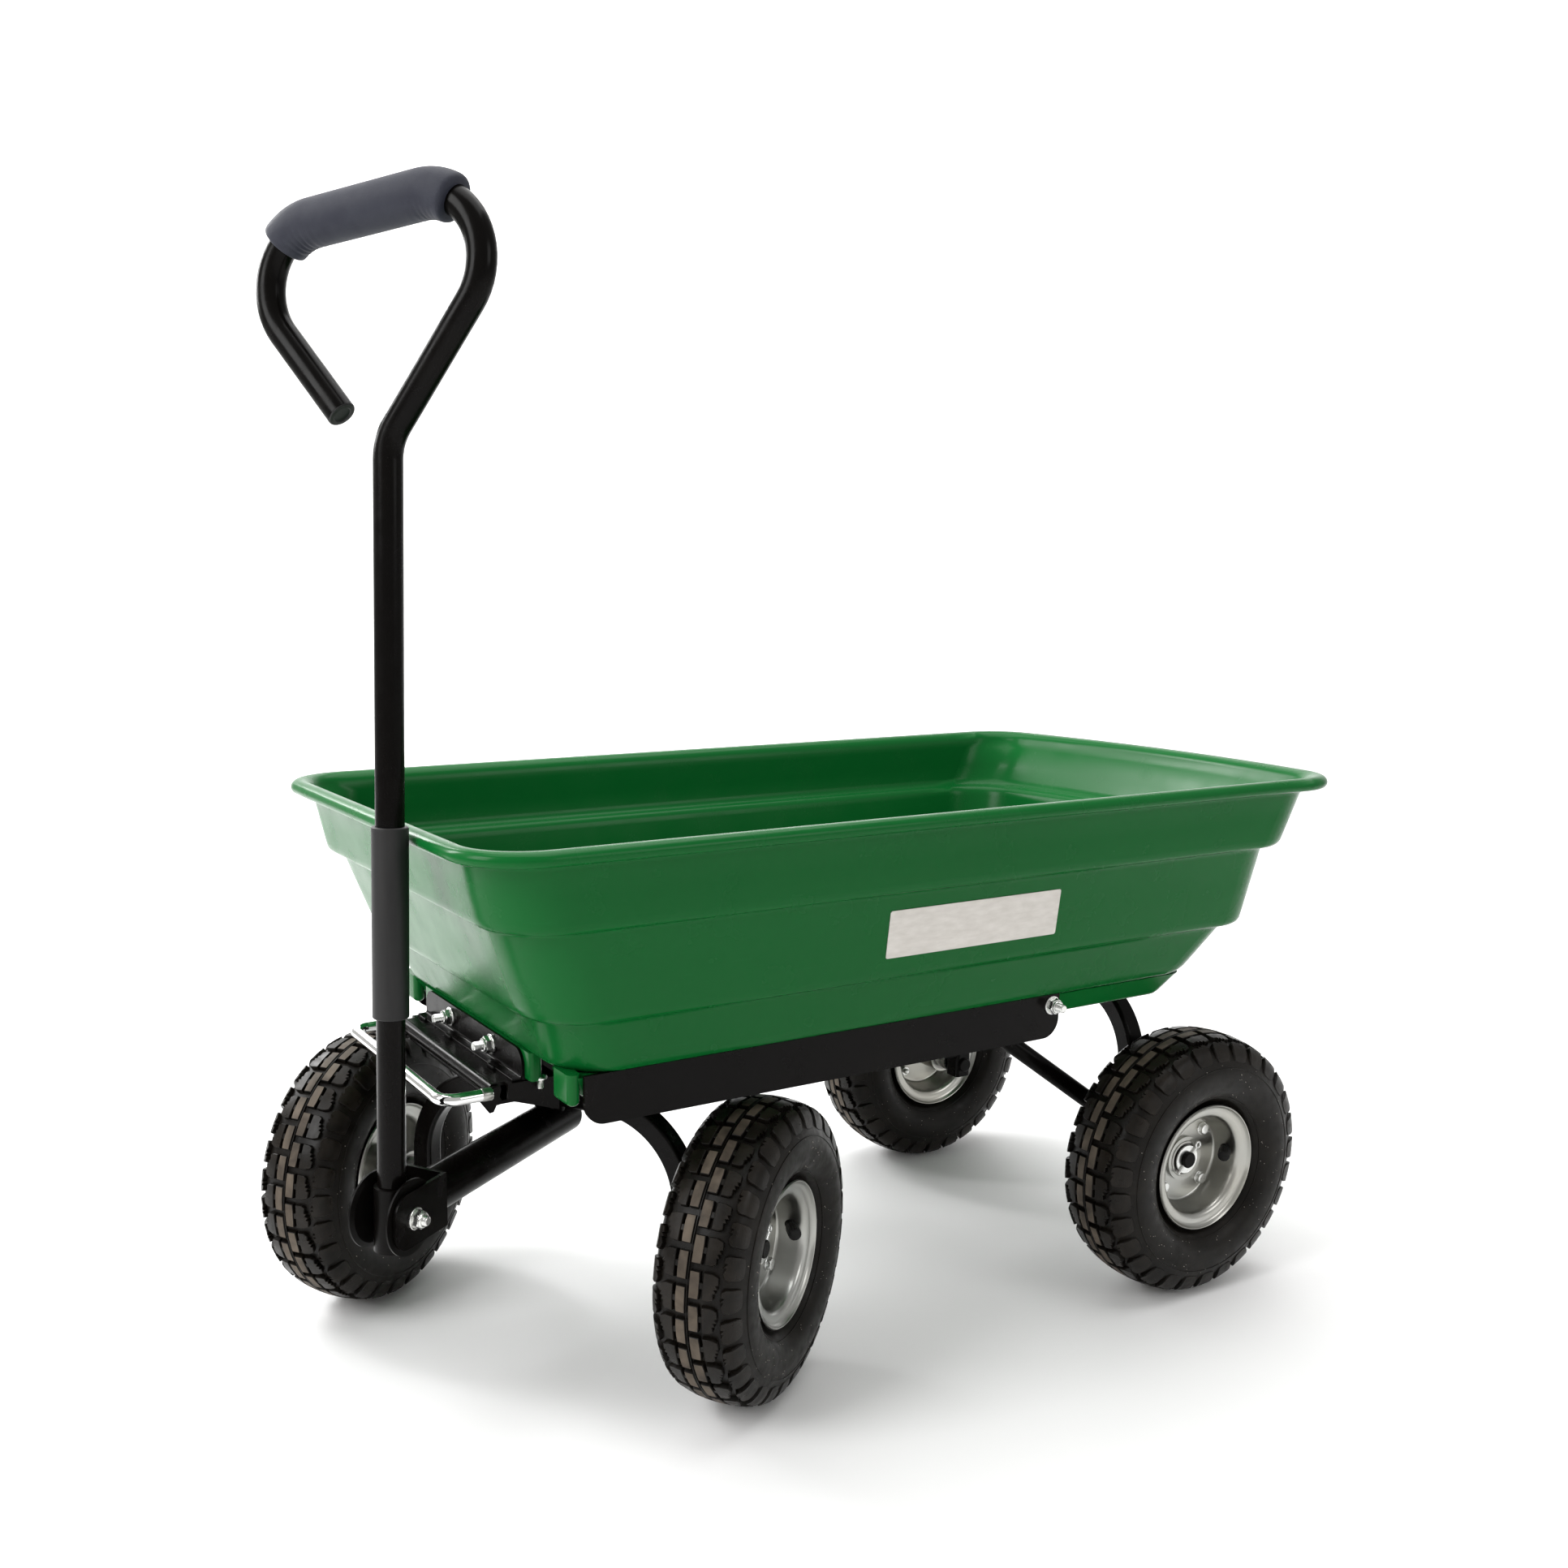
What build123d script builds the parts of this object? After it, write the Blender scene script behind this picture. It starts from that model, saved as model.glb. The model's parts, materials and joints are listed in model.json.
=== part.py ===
"""Poly garden dump cart: green tray on a black steel chassis with four pneumatic wheels.

Millimetres, +Z up. The cart's handle end points to -X and it tips towards +X.
Every function builds its pieces in the cart's own frame, and save() moves them to the row frame.
"""
import math
import os

from build123d import *

# ---- overall layout -------------------------------------------------------------------------
ORIGIN_X = 27.6            # moves the cart so that the origin is under the middle of its length
AXLE_Z = 129.0             # wheel centre height, equal to the tyre radius
REAR_AXLE_X = 302.0
KINGPIN_X = -287.0
HALF_TRACK = 202.8         # wheel centre plane from the cart's centre line
STEER_REST = 33.0          # the front axle is stored turned by this angle

# ---- wheels ---------------------------------------------------------------------------------
TYRE_R = 129.0
TYRE_HALF_W = 42.0
TYRE_WALL = 5.0
RIM_LIP_R = 63.5
RIM_SHEET = 1.8
RIM_BOLT_R = 36.0
RIM_BOLT_COUNT = 4
HUB_R = 18.0
HUB_BORE_R = 15.5
HUB_OUT = 6.0              # hub end from the wheel's centre plane, outboard
HUB_IN = 44.0              # and inboard
AXLE_R = 8.0
AXLE_HALF = 214.8
VALVE_ROOT = (66.0, 0.0, 8.1)
VALVE_NECK = (40.0, -18.91, 4.08)
VALVE_TIP = (33.0, -24.0, 3.0)
RUN_GAP = 0.06             # radial clearance of every running fit

# ---- tray: (z, x front, x rear, half width, corner radius, bulge of the rear end) ------------
TRAY_WALL = 4.5
FLOOR_Z = 311.0
BAND_3 = ((315.0, -359.0, 339.0, 190.0, 50.0, 13.0), (359.0, -376.0, 386.0, 199.0, 52.0, 17.0))
BAND_2 = ((359.0, -387.0, 398.0, 210.0, 55.0, 19.0), (437.0, -417.0, 415.0, 220.0, 57.0, 22.0))
BAND_1 = ((437.0, -427.4, 427.0, 231.3, 58.0, 24.0), (492.0, -440.0, 455.5, 232.5, 58.0, 26.0))
LIP = (491.5, -456.7, 473.4, 248.9, 62.0, 27.0)
LIP_H = 12.2
RUNNER_FOOT = (-340.0, 292.0, 150.0, 177.0, 291.0)
RUNNER_TOP = (-356.0, 316.0, 146.0, 183.5, 312.0)
FOOT = (-356.8, -345.6, 152.0, 183.6, 288.0)    # front foot: x front, x rear, y in, y out, z low
TIP_X = 302.0              # tipping hinge
TIP_Z = 298.0
TIP_ROD_R = 5.0

# ---- chassis --------------------------------------------------------------------------------
BEAM = (-320.0, 306.0, 55.0, 287.3, 309.0)
PLATE = 3.0
ARCH_TUBE = 20.0
ARCH_WALL = 2.0
ARCH_FOOT_Z = 115.0
REAR_ARCH = (131.5, 277.3, 71.3)    # leg half spacing, centre-line height, bend radius
FRONT_ARCH = (138.0, 235.0, 80.0)
BRACE_R = 9.0
KINGPIN_R = 8.0

# ---- steering and handle ---------------------------------------------------------------------
TONGUE_R = 18.0
TONGUE_Z = 206.9           # its top just meets the underside of the front arch
TONGUE_TAIL = 26.0         # how far the tongue runs on behind the kingpin
PIVOT_R = 232.0            # handle pivot, ahead of the kingpin
PIVOT_Z = 208.0
HANDLE_LEAN = 2.2
HANDLE_TUBE_R = 11.0
HANDLE_PATH = ((0, -22), (0, 581), (-136.3, 756.6), (155.5, 727.4), (42, 601))
HANDLE_BENDS = (40.0, 46.0, 45.7)
GRIP_R = 17.5
SLEEVE_R = 14.0
SOCKET_R = 14.0
DISC_R = 30.0

# ---- latch ----------------------------------------------------------------------------------
LATCH_X = -384.6
LATCH_Z = 283.0
BAIL_R = 5.0


LOW = []                   # corners of every piece's box, for the printed overall size
HIGH = []


# ---- helpers --------------------------------------------------------------------------------
def save(name, shape):
    """Move a piece from the cart frame to the row frame and write it."""
    piece = Pos(ORIGIN_X, 0, 0) * shape
    piece.label = name
    export_step(piece, "parts/" + name + ".step")
    box = piece.bounding_box()
    LOW.append((box.min.X, box.min.Y, box.min.Z))
    HIGH.append((box.max.X, box.max.Y, box.max.Z))


def steered(shape):
    """Place a piece that was built about the kingpin with the tongue along -X."""
    return Pos(KINGPIN_X, 0, 0) * Rot(0, 0, STEER_REST) * shape


def on_handle(shape):
    """Place a piece that was built about the handle pivot with the handle along +Z."""
    return steered(Pos(-PIVOT_R, 0, PIVOT_Z) * Rot(0, HANDLE_LEAN, 0) * shape)


def rod_y(x, z, radius, y0, y1):
    return Pos(x, (y0 + y1) / 2, z) * Rot(90, 0, 0) * Cylinder(radius, abs(y1 - y0))


def rod_x(y, z, radius, x0, x1):
    return Pos((x0 + x1) / 2, y, z) * Rot(0, 90, 0) * Cylinder(radius, abs(x1 - x0))


def rod_z(x, y, radius, z0, z1):
    return Pos(x, y, (z0 + z1) / 2) * Cylinder(radius, abs(z1 - z0))


def rod_between(p, q, radius):
    line = Line(p, q)
    return sweep((line ^ 0) * Circle(radius), path=line)


def block(x0, x1, y0, y1, z0, z1):
    place = Pos((x0 + x1) / 2, (y0 + y1) / 2, (z0 + z1) / 2)
    return place * Box(x1 - x0, y1 - y0, z1 - z0)


def hex_y(x, z, across_flats, y0, y1):
    head = RegularPolygon(across_flats / 2, 6, major_radius=False)
    low = min(y0, y1)
    high = max(y0, y1)
    return Pos(x, high, z) * Rot(90, 0, 0) * extrude(head, amount=high - low)


def hex_x(y, z, across_flats, x0, x1):
    head = RegularPolygon(across_flats / 2, 6, major_radius=False)
    return Pos(x0, y, z) * Rot(0, 90, 0) * extrude(head, amount=x1 - x0)


def hex_z(x, y, across_flats, z0, z1):
    head = RegularPolygon(across_flats / 2, 6, major_radius=False)
    return Pos(x, y, z0) * extrude(head, amount=z1 - z0)


def turned(points):
    """A solid of revolution about Y from (radius, y) points."""
    outline = make_face(Polyline(*[(r, y) for r, y in points], close=True))
    return revolve(outline, axis=Axis.Y)


def sheet_outline(points, thickness):
    """Points of a bent sheet's section: a path given a thickness on one side."""
    offset = []
    for i, (r, y) in enumerate(points):
        before = points[max(i - 1, 0)]
        after = points[min(i + 1, len(points) - 1)]
        dr = after[0] - before[0]
        dy = after[1] - before[1]
        size = math.hypot(dr, dy)
        offset.append((r - dy / size * thickness, y + dr / size * thickness))
    return list(points) + offset[::-1]


# ---- wheels ---------------------------------------------------------------------------------
def tyre():
    """Tyre to the tops of its tread blocks: beads, side walls, shoulders and crown."""
    def half(side):
        wall = ThreePointArc((64.5, side * 25.5), (89, side * TYRE_HALF_W), (114, side * 37.5))
        shoulder = Line((114, side * 37.5), (TYRE_R - 4.5, side * 31))
        bead = Polyline((64.5, side * 25.5), (55, side * 24.5), (54.2, side * 15), (60, side * 16))
        lining = ThreePointArc((60, side * 16), (88, side * 36.5), (112, side * 30))
        return [wall, shoulder, bead, lining]
    crown = ThreePointArc((TYRE_R - 4.5, -31), (TYRE_R, 0), (TYRE_R - 4.5, 31))
    ceiling = ThreePointArc((112, -30), (TYRE_R - TYRE_WALL - 3, 0), (112, 30))
    return revolve(make_face(half(-1) + half(1) + [crown, ceiling]), axis=Axis.Y)


def valve_stem():
    """Rubber stem through the outer dish wall, leaning outboard and towards the hub."""
    return rod_between(VALVE_ROOT, VALVE_TIP, 4.2) + rod_between(VALVE_NECK, VALVE_TIP, 5.0)


def inner_tube():
    tube = Rot(90, 0, 0) * Torus(89, 27)
    return tube + valve_stem()


def rim_half(side):
    """One pressed half of the split rim. side is -1 outboard and +1 inboard."""
    path = [(HUB_R, 0.01), (42.5, 0.01), (45, 1.5), (46.4, 4.5), (49.8, 21.5), (51.2, 25.2),
            (54, 26.6), (58, 27.2), (61.2, 28.6), (RIM_LIP_R - 0.7, 31.5)]
    outline = sheet_outline(path, RIM_SHEET)
    rim = turned([(r, side * y) for r, y in outline])
    for i in range(RIM_BOLT_COUNT):
        angle = math.radians(45 + 90 * i)
        x = RIM_BOLT_R * math.cos(angle)
        z = RIM_BOLT_R * math.sin(angle)
        rim -= rod_y(x, z, 3.3, -6, 6)
    if side < 0:
        rim -= rod_between(VALVE_ROOT, VALVE_TIP, 4.3)
    return rim


def hub():
    barrel = rod_y(0, 0, HUB_R, -HUB_OUT, HUB_IN)
    ring = rod_y(0, 0, HUB_R + 4, -HUB_OUT + 1, -RIM_SHEET - 0.05)
    bore = rod_y(0, 0, HUB_BORE_R, -HUB_OUT - 1, HUB_IN + 1)
    return fillet((barrel + ring - bore).edges().filter_by(GeomType.CIRCLE).sort_by(Axis.Y)[:2], 0.8)


def bearings():
    def race(y0, y1):
        ring = rod_y(0, 0, HUB_BORE_R, y0, y1) - rod_y(0, 0, AXLE_R + RUN_GAP, y0 - 1, y1 + 1)
        groove = revolve(Pos(11.8, y0, 0) * Circle(1.6), axis=Axis.Y)
        return ring - groove
    return race(-HUB_OUT + 1, 6) + race(HUB_IN - 11, HUB_IN - 0.5)


def rim_bolts():
    bolts = Part()
    for i in range(RIM_BOLT_COUNT):
        angle = math.radians(45 + 90 * i)
        x = RIM_BOLT_R * math.cos(angle)
        z = RIM_BOLT_R * math.sin(angle)
        head = hex_y(x, z, 10, -RIM_SHEET - 4.2, -RIM_SHEET - 0.05)
        nut = hex_y(x, z, 10, RIM_SHEET + 0.05, RIM_SHEET + 5.2)
        bolts += rod_y(x, z, 3, -RIM_SHEET - 2, 11) + head + nut
    return bolts


def wheel(name, place):
    save("tyre_" + name, place * tyre())
    save("inner_tube_" + name, place * inner_tube())
    save("rim_outer_" + name, place * rim_half(-1))
    save("rim_inner_" + name, place * rim_half(1))
    save("hub_" + name, place * hub())
    save("bearings_" + name, place * bearings())
    save("rim_bolts_" + name, place * rim_bolts())


def left_wheel(x):
    return Pos(x, -HALF_TRACK, AXLE_Z)


def right_wheel(x):
    return Pos(x, HALF_TRACK, AXLE_Z) * Rot(0, 0, 180)


# ---- axles and arches -------------------------------------------------------------------------
def axle(leg):
    """A stub pin through the foot of each arch leg, cross-drilled at its outer end."""
    pins = Part()
    for end in (-1, 1):
        pin = rod_y(0, AXLE_Z, AXLE_R, end * (leg - ARCH_TUBE / 2 - 3), end * AXLE_HALF)
        rim = pin.edges().filter_by(GeomType.CIRCLE)
        pin = chamfer(rim, 1.0)
        pin -= rod_between((-12, end * (AXLE_HALF - 3.2), AXLE_Z - 12),
                           (12, end * (AXLE_HALF - 3.2), AXLE_Z + 12), 1.7)
        pins += pin
    return pins


def axle_fixings(leg_out):
    """Per end: a spacer tube inboard of the hub, a washer and a cotter pin outboard."""
    parts = Part()
    for end in (-1, 1):
        spacer = rod_y(0, AXLE_Z, 13, end * (leg_out + 0.1), end * (HALF_TRACK - HUB_IN - 0.5))
        washer_in = HALF_TRACK + HUB_OUT + 0.4
        washer = rod_y(0, AXLE_Z, 14, end * washer_in, end * (washer_in + 1.6))
        bore = rod_y(0, AXLE_Z, AXLE_R + 0.05, end * leg_out, end * AXLE_HALF)
        y = end * (AXLE_HALF - 3.2)
        pin = rod_between((-12.5, y, AXLE_Z - 12.5), (11, y, AXLE_Z + 11), 1.5)
        eye = Pos(13, y, AXLE_Z + 13) * Rot(90, 0, 0) * Torus(2.9, 1.2)
        parts += (spacer - bore) + (washer - bore) + (pin + eye)
    return parts


def arch(leg, top_z, bend):
    """Square tube bent into an inverted U in the plane X = 0, drilled for the axle."""
    points = ((0, -leg, ARCH_FOOT_Z), (0, -leg, top_z), (0, leg, top_z), (0, leg, ARCH_FOOT_Z))
    path = FilletPolyline(*points, radius=bend)
    start = Plane(origin=points[0], x_dir=(1, 0, 0), z_dir=(0, 0, 1))
    side = ARCH_TUBE
    skin = sweep(start * RectangleRounded(side, side, 3.5), path=path)
    core = sweep(start * RectangleRounded(side - 2 * ARCH_WALL, side - 2 * ARCH_WALL, 1.6), path=path)
    return skin - core - rod_y(0, AXLE_Z, AXLE_R, -leg - side, leg + side)


# ---- chassis --------------------------------------------------------------------------------
def chassis_beam():
    x0, x1, half, z0, z1 = BEAM
    beam = block(x0, x1, -half, half, z0, z1)
    beam -= block(x0 - 1, x1 + 1, -half + PLATE, half - PLATE, z0 - 1, z1 - PLATE)
    head = rod_z(KINGPIN_X, 0, 25, 254.3, z1 - PLATE) + rod_z(KINGPIN_X, 0, 45, 250.3, 254.3)
    beam = beam + head
    beam -= rod_z(KINGPIN_X, 0, KINGPIN_R, 240, z1 + 1)
    beam -= rod_y(TIP_X, TIP_Z, TIP_ROD_R, -half - 1, half + 1)
    return beam


def kingpin():
    pin = rod_z(KINGPIN_X, 0, KINGPIN_R, 195.5, 308.5)
    washer = rod_z(KINGPIN_X, 0, 11.6, 205.0, 206.9)
    nut = hex_z(KINGPIN_X, 0, 19, 197.2, 205.0)
    return pin + washer + nut


def brace(side):
    """Round tube from an arch foot up to the flank of the beam."""
    low = (REAR_AXLE_X - 10.5, side * 131.0, 143.0)
    high = (105.0, side * 59.0, 291.0)
    tube = rod_between(low, high, BRACE_R)
    x0, x1, half, z0, z1 = BEAM
    tube -= block(x0, x1, -half, half, z0 - 60, z1 + 60)
    leg = REAR_AXLE_X - ARCH_TUBE / 2
    tube -= block(leg, leg + 40, side * 131 - 30, side * 131 + 30, 100, 200)
    return tube


def hinge_rod():
    rod = rod_y(TIP_X, TIP_Z, TIP_ROD_R, -67, 67)
    return rod + rod_y(TIP_X, TIP_Z, 7.5, -69, -65) + rod_y(TIP_X, TIP_Z, 7.5, 65, 69)


def latch_striker():
    x0 = BEAM[0]
    tongue = block(-379, x0, -98, 98, 268.5, 271.5)
    nose = rod_y(-379.3, 271.3, 3.2, -98, 98)
    riser = block(x0 - 3.5, x0, -50, 50, 268.5, 306)
    return tongue + nose + riser


# ---- steering ---------------------------------------------------------------------------------
def front_arch():
    leg, top_z, bend = FRONT_ARCH
    return arch(leg, top_z, bend) - rod_z(0, 0, KINGPIN_R + 0.4, 200, 260)


def turn_plate():
    z0 = FRONT_ARCH[1] + ARCH_TUBE / 2
    return rod_z(0, 0, 45, z0, 250.0) - rod_z(0, 0, KINGPIN_R + RUN_GAP, z0 - 1, 251)


def tongue():
    """Tube from the yoke to just behind the kingpin, whose nut sits up inside it."""
    z1 = FRONT_ARCH[1] - ARCH_TUBE / 2
    tube = rod_x(0, TONGUE_Z, TONGUE_R, -PIVOT_R + 42, TONGUE_TAIL)
    tube -= rod_x(0, TONGUE_Z, TONGUE_R - 2.5, -PIVOT_R + 40, TONGUE_TAIL + 1)
    tube += rod_z(0, 0, 14, 207.0, z1)
    tube -= rod_z(0, 0, 12.4, 180, 207.0) + rod_z(0, 0, KINGPIN_R + RUN_GAP, 180, 240)
    return tube - block(-12, 12, -30, 30, z1, z1 + 10)


def yoke():
    """U bracket on the tongue's end, with a flange on each side of the handle socket."""
    back = -PIVOT_R + 39
    front = -PIVOT_R - 24
    high = PIVOT_Z + 22
    low = PIVOT_Z - 22
    body = block(front, back + PLATE, -22, 22, low, high)
    body -= block(front - 1, back, -19, 19, low - 1, high + 1)
    front_edges = body.edges().filter_by(Axis.Y).group_by(Axis.X)[0]
    body = fillet(front_edges, 16)
    return body - rod_y(-PIVOT_R, PIVOT_Z, 4.0, -30, 30)


def pivot_bolt():
    bolt = rod_y(-PIVOT_R, PIVOT_Z, 4.0, -35, 26)
    head = hex_y(-PIVOT_R, PIVOT_Z, 13, 22.05, 27.5)
    nut = hex_y(-PIVOT_R, PIVOT_Z, 13, -28.5, -22.05)
    flange = rod_y(-PIVOT_R, PIVOT_Z, 8.8, -23.8, -22.05)
    return bolt + head + nut + flange


# ---- handle -----------------------------------------------------------------------------------
def handle_tube():
    path = handle_wire()
    ring = Circle(HANDLE_TUBE_R) - Circle(HANDLE_TUBE_R - 1.6)
    tube = sweep(Plane(origin=path @ 0, z_dir=path % 0) * ring, path=path)
    return tube - rod_y(0, 0, 4.0 + RUN_GAP, -20, 20)


def arc_points(corner, before, after, radius):
    """Tangent points and centre of the arc that rounds a corner."""
    def unit(a, b):
        length = math.hypot(b[0] - a[0], b[1] - a[1])
        return ((b[0] - a[0]) / length, (b[1] - a[1]) / length)
    u = unit(corner, before)
    v = unit(corner, after)
    half = math.acos(u[0] * v[0] + u[1] * v[1]) / 2
    reach = radius / math.tan(half)
    start = (corner[0] + u[0] * reach, corner[1] + u[1] * reach)
    end = (corner[0] + v[0] * reach, corner[1] + v[1] * reach)
    w = (u[0] + v[0], u[1] + v[1])
    size = math.hypot(*w)
    depth = radius / math.sin(half)
    centre = (corner[0] + w[0] / size * depth, corner[1] + w[1] / size * depth)
    middle = (centre[0] - w[0] / size * radius, centre[1] - w[1] / size * radius)
    return start, middle, end, centre


def handle_wire():
    """Centre line of the handle: riser, kink, and the open D loop."""
    p = HANDLE_PATH
    edges = []
    here = p[0]
    for i, radius in enumerate(HANDLE_BENDS):
        start, middle, end, _ = arc_points(p[i + 1], p[i], p[i + 2], radius)
        edges.append(Line((0, *here), (0, *start)))
        edges.append(ThreePointArc((0, *start), (0, *middle), (0, *end)))
        here = end
    edges.append(Line((0, *here), (0, *p[-1])))
    return Wire(edges)


def on_arc(centre, radius, degrees):
    angle = math.radians(degrees)
    return (0, centre[0] + radius * math.cos(angle), centre[1] + radius * math.sin(angle))


def foam_grip():
    """Foam tube over the loop's top bar, running a little way round both bends."""
    p = HANDLE_PATH
    _, _, left_end, left = arc_points(p[2], p[1], p[3], HANDLE_BENDS[1])
    right_start, _, _, right = arc_points(p[3], p[2], p[4], HANDLE_BENDS[2])
    r_left = HANDLE_BENDS[1]
    r_right = HANDLE_BENDS[2]
    begin = on_arc(left, r_left, 122)
    finish = on_arc(right, r_right, 44)
    path = Wire([ThreePointArc(begin, on_arc(left, r_left, 108), (0, *left_end)),
                 Line((0, *left_end), (0, *right_start)),
                 ThreePointArc((0, *right_start), on_arc(right, r_right, 64), finish)])
    ring = Circle(GRIP_R) - Circle(HANDLE_TUBE_R)
    return sweep(Plane(origin=path @ 0, z_dir=path % 0) * ring, path=path)


def bumper_sleeve():
    body = rod_z(0, 0, SLEEVE_R, 155, 301)
    body = fillet(body.edges().filter_by(GeomType.CIRCLE), 1.2)
    return body - rod_z(0, 0, HANDLE_TUBE_R, 150, 310)


def handle_socket():
    body = rod_z(0, 0, SOCKET_R, -29, 22) - rod_z(0, 0, HANDLE_TUBE_R, -26, 30)
    return body - rod_y(0, 0, 4.0 + RUN_GAP, -20, 20)


def pivot_discs():
    """A domed friction disc on each side of the socket."""
    profile = [(4.0 + RUN_GAP, 14.1), (16, 14.1), (26, 15.3), (DISC_R, 17.0), (DISC_R, 18.6),
               (25, 18.6), (4.0 + RUN_GAP, 18.6)]
    return turned(profile) + turned([(r, -y) for r, y in profile])


# ---- tray -------------------------------------------------------------------------------------
def section(level, inset=0.0, lift=0.0):
    """Level outline of the tray: straight front and sides, a rear end that bulges, round corners."""
    z, x0, x1, half, radius, bulge = level
    front = x0 + inset
    tip = x1 - inset
    side = half - inset
    outline = Polyline((tip - bulge, -side), (front, -side), (front, side), (tip - bulge, side))
    end = ThreePointArc((tip - bulge, side), (tip, 0), (tip - bulge, -side))
    face = make_face([outline, end])
    return Pos(0, 0, z + lift) * fillet(face.vertices(), radius - inset).face()


def frustum(band, inset=0.0, lift=0.0):
    return loft([section(band[0], inset, lift), section(band[1], inset, lift)])


def runner(side, foot, top):
    def level(values):
        x0, x1, y0, y1, z = values
        shape = RectangleRounded(x1 - x0, y1 - y0, 6)
        return (Pos((x0 + x1) / 2, side * (y0 + y1) / 2, z) * shape).face()
    return loft([level(foot), level(top)])


def front_foot(side):
    """Solid moulded foot under the tray's front corner, just ahead of the side plate."""
    x0, x1, y0, y1, z0 = FOOT
    foot = block(x0, x1, min(side * y0, side * y1), max(side * y0, side * y1), z0, FLOOR_Z + 5)
    low = foot.edges().group_by(Axis.Z)[0]
    upright = foot.edges().filter_by(Axis.Z).sort_by(Axis.X)[:2]
    return fillet(low + upright, 5)


def tray():
    lip_z = LIP[0]
    lip = extrude(section(LIP), amount=LIP_H)
    floor = extrude(section((FLOOR_Z, -349.0, 328.0, 183.5, 42.0, 10.0)), amount=6)
    outer = frustum(BAND_1) + frustum(BAND_2) + frustum(BAND_3) + lip + floor
    outer += block(-359.6, -349, -118, 118, 289.2, FLOOR_Z + 3)
    corners = loft([section((290.0, -341.0, 306.0, 177.0, 44.0, 8.0)),
                    section((313.0, -357.0, 329.0, 183.6, 44.0, 8.0))])
    for side in (-1, 1):
        outer += runner(side, RUNNER_FOOT, RUNNER_TOP) & corners
        outer += front_foot(side)
    w = TRAY_WALL
    floor_level = (FLOOR_Z + 5, *BAND_3[0][1:])
    cavity = loft([section(floor_level, w), section(BAND_3[1], w, w)])
    cavity += frustum(BAND_2, w, w)
    top = BAND_1[1]
    top_level = (lip_z + LIP_H + 1 - w, *top[1:])
    cavity += loft([section(BAND_1[0], w, w), section(top_level, w, w)])
    foot = (RUNNER_FOOT[0] + 24, RUNNER_FOOT[1] - 24, RUNNER_FOOT[2] + 5, RUNNER_FOOT[3] - 5, 296.0)
    head = (RUNNER_TOP[0] + 36, RUNNER_TOP[1] - 34, RUNNER_TOP[2] + 5, RUNNER_TOP[3] - 5, 317.0)
    for side in (-1, 1):
        cavity += runner(side, foot, head)
    shell = outer - cavity
    for y in (-46, 46):
        shell -= rod_x(y, 303, 4.2, -365, -340)
    for side in (-1, 1):
        shell -= rod_y(136, 303, 4.2, side * 170, side * 190)
    return shell


def rounded_tray():
    """Soften the lip and the foot of each band, where the plastic has its large radii."""
    shell = tray()
    for z, radius in ((LIP[0] + LIP_H, 4.4), (LIP[0], 3.6), (437.0, 3.6), (359.0, 3.2)):
        ring = [e for e in shell.edges() if abs(e.center().Z - z) < 0.05
                and e.bounding_box().size.Z < 0.1]
        shell = fillet(ring, radius)
    return shell


def label_plate():
    """Blank label panel lying on the middle band of the left side."""
    lean = math.degrees(math.atan2(BAND_2[1][3] - BAND_2[0][3], BAND_2[1][0] - BAND_2[0][0]))
    mid_z = 400.0
    share = (mid_z - BAND_2[0][0]) / (BAND_2[1][0] - BAND_2[0][0])
    wall_y = BAND_2[0][3] + share * (BAND_2[1][3] - BAND_2[0][3])
    plate = extrude(RectangleRounded(188, 42, 2), amount=0.6)
    return Pos(16, -wall_y - 0.05, mid_z) * Rot(90 + lean, 0, 0) * plate


def side_plate(side):
    profile = Polyline((-345, 313), (145, 313), (145, 272), (-345, 272), close=True)
    face = make_face(profile)
    face = fillet(face.vertices().group_by(Axis.Y)[0], 18)
    plate = extrude(Plane.XZ * face, amount=PLATE)
    plate = Pos(0, -184, 0) * plate if side < 0 else Pos(0, 184 + PLATE, 0) * plate
    return plate - rod_y(136, 303, 4.3, -200, 200)


def side_bolts():
    bolts = Part()
    for side in (-1, 1):
        shank = rod_y(136, 303, 4.0, side * 170, side * 203)
        washer = rod_y(136, 303, 9.5, side * 187.1, side * 188.7)
        nut = hex_y(136, 303, 13, side * 188.7, side * 195.2)
        head = rod_y(136, 303, 7.0, side * 168.5, side * 171.8)
        bolts += shank + washer + nut + head
    return bolts


def latch_channel():
    """Folded plate under the tray's nose, its front edge rolled into the latch's pivot tube."""
    top = block(LATCH_X + 1, -330, -110, 110, 286.4, 289.0)
    knuckle = rod_y(LATCH_X, LATCH_Z, 6, -103, 103)
    body = top + knuckle
    for side in (-1, 1):
        body -= block(LATCH_X - 1, LATCH_X + 9, min(side * 103, side * 111), max(side * 103, side * 111),
                      280, 290)
        outline = Polyline((LATCH_X + 9, 289), (-330, 289), (-330, 260), (LATCH_X + 9, 275), close=True)
        cheek = extrude(Plane.XZ * make_face(outline), amount=2.5)
        body += Pos(0, 110 if side > 0 else -107.5, 0) * cheek
    return body - rod_y(LATCH_X, LATCH_Z, 4.0 + RUN_GAP, -120, 120)


def front_bracket():
    face = make_face(Polyline((-108, 289.1), (108, 289.1), (108, 314.2), (-108, 314.2), close=True))
    face = fillet(face.vertices().group_by(Axis.Y)[-1], 14)
    plate = extrude(Plane.YZ * face, amount=2.3)
    plate = Pos(-362.2, 0, 0) * plate
    for y in (-46, 46):
        plate -= rod_x(y, 303, 4.2, -370, -350)
    return plate


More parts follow.
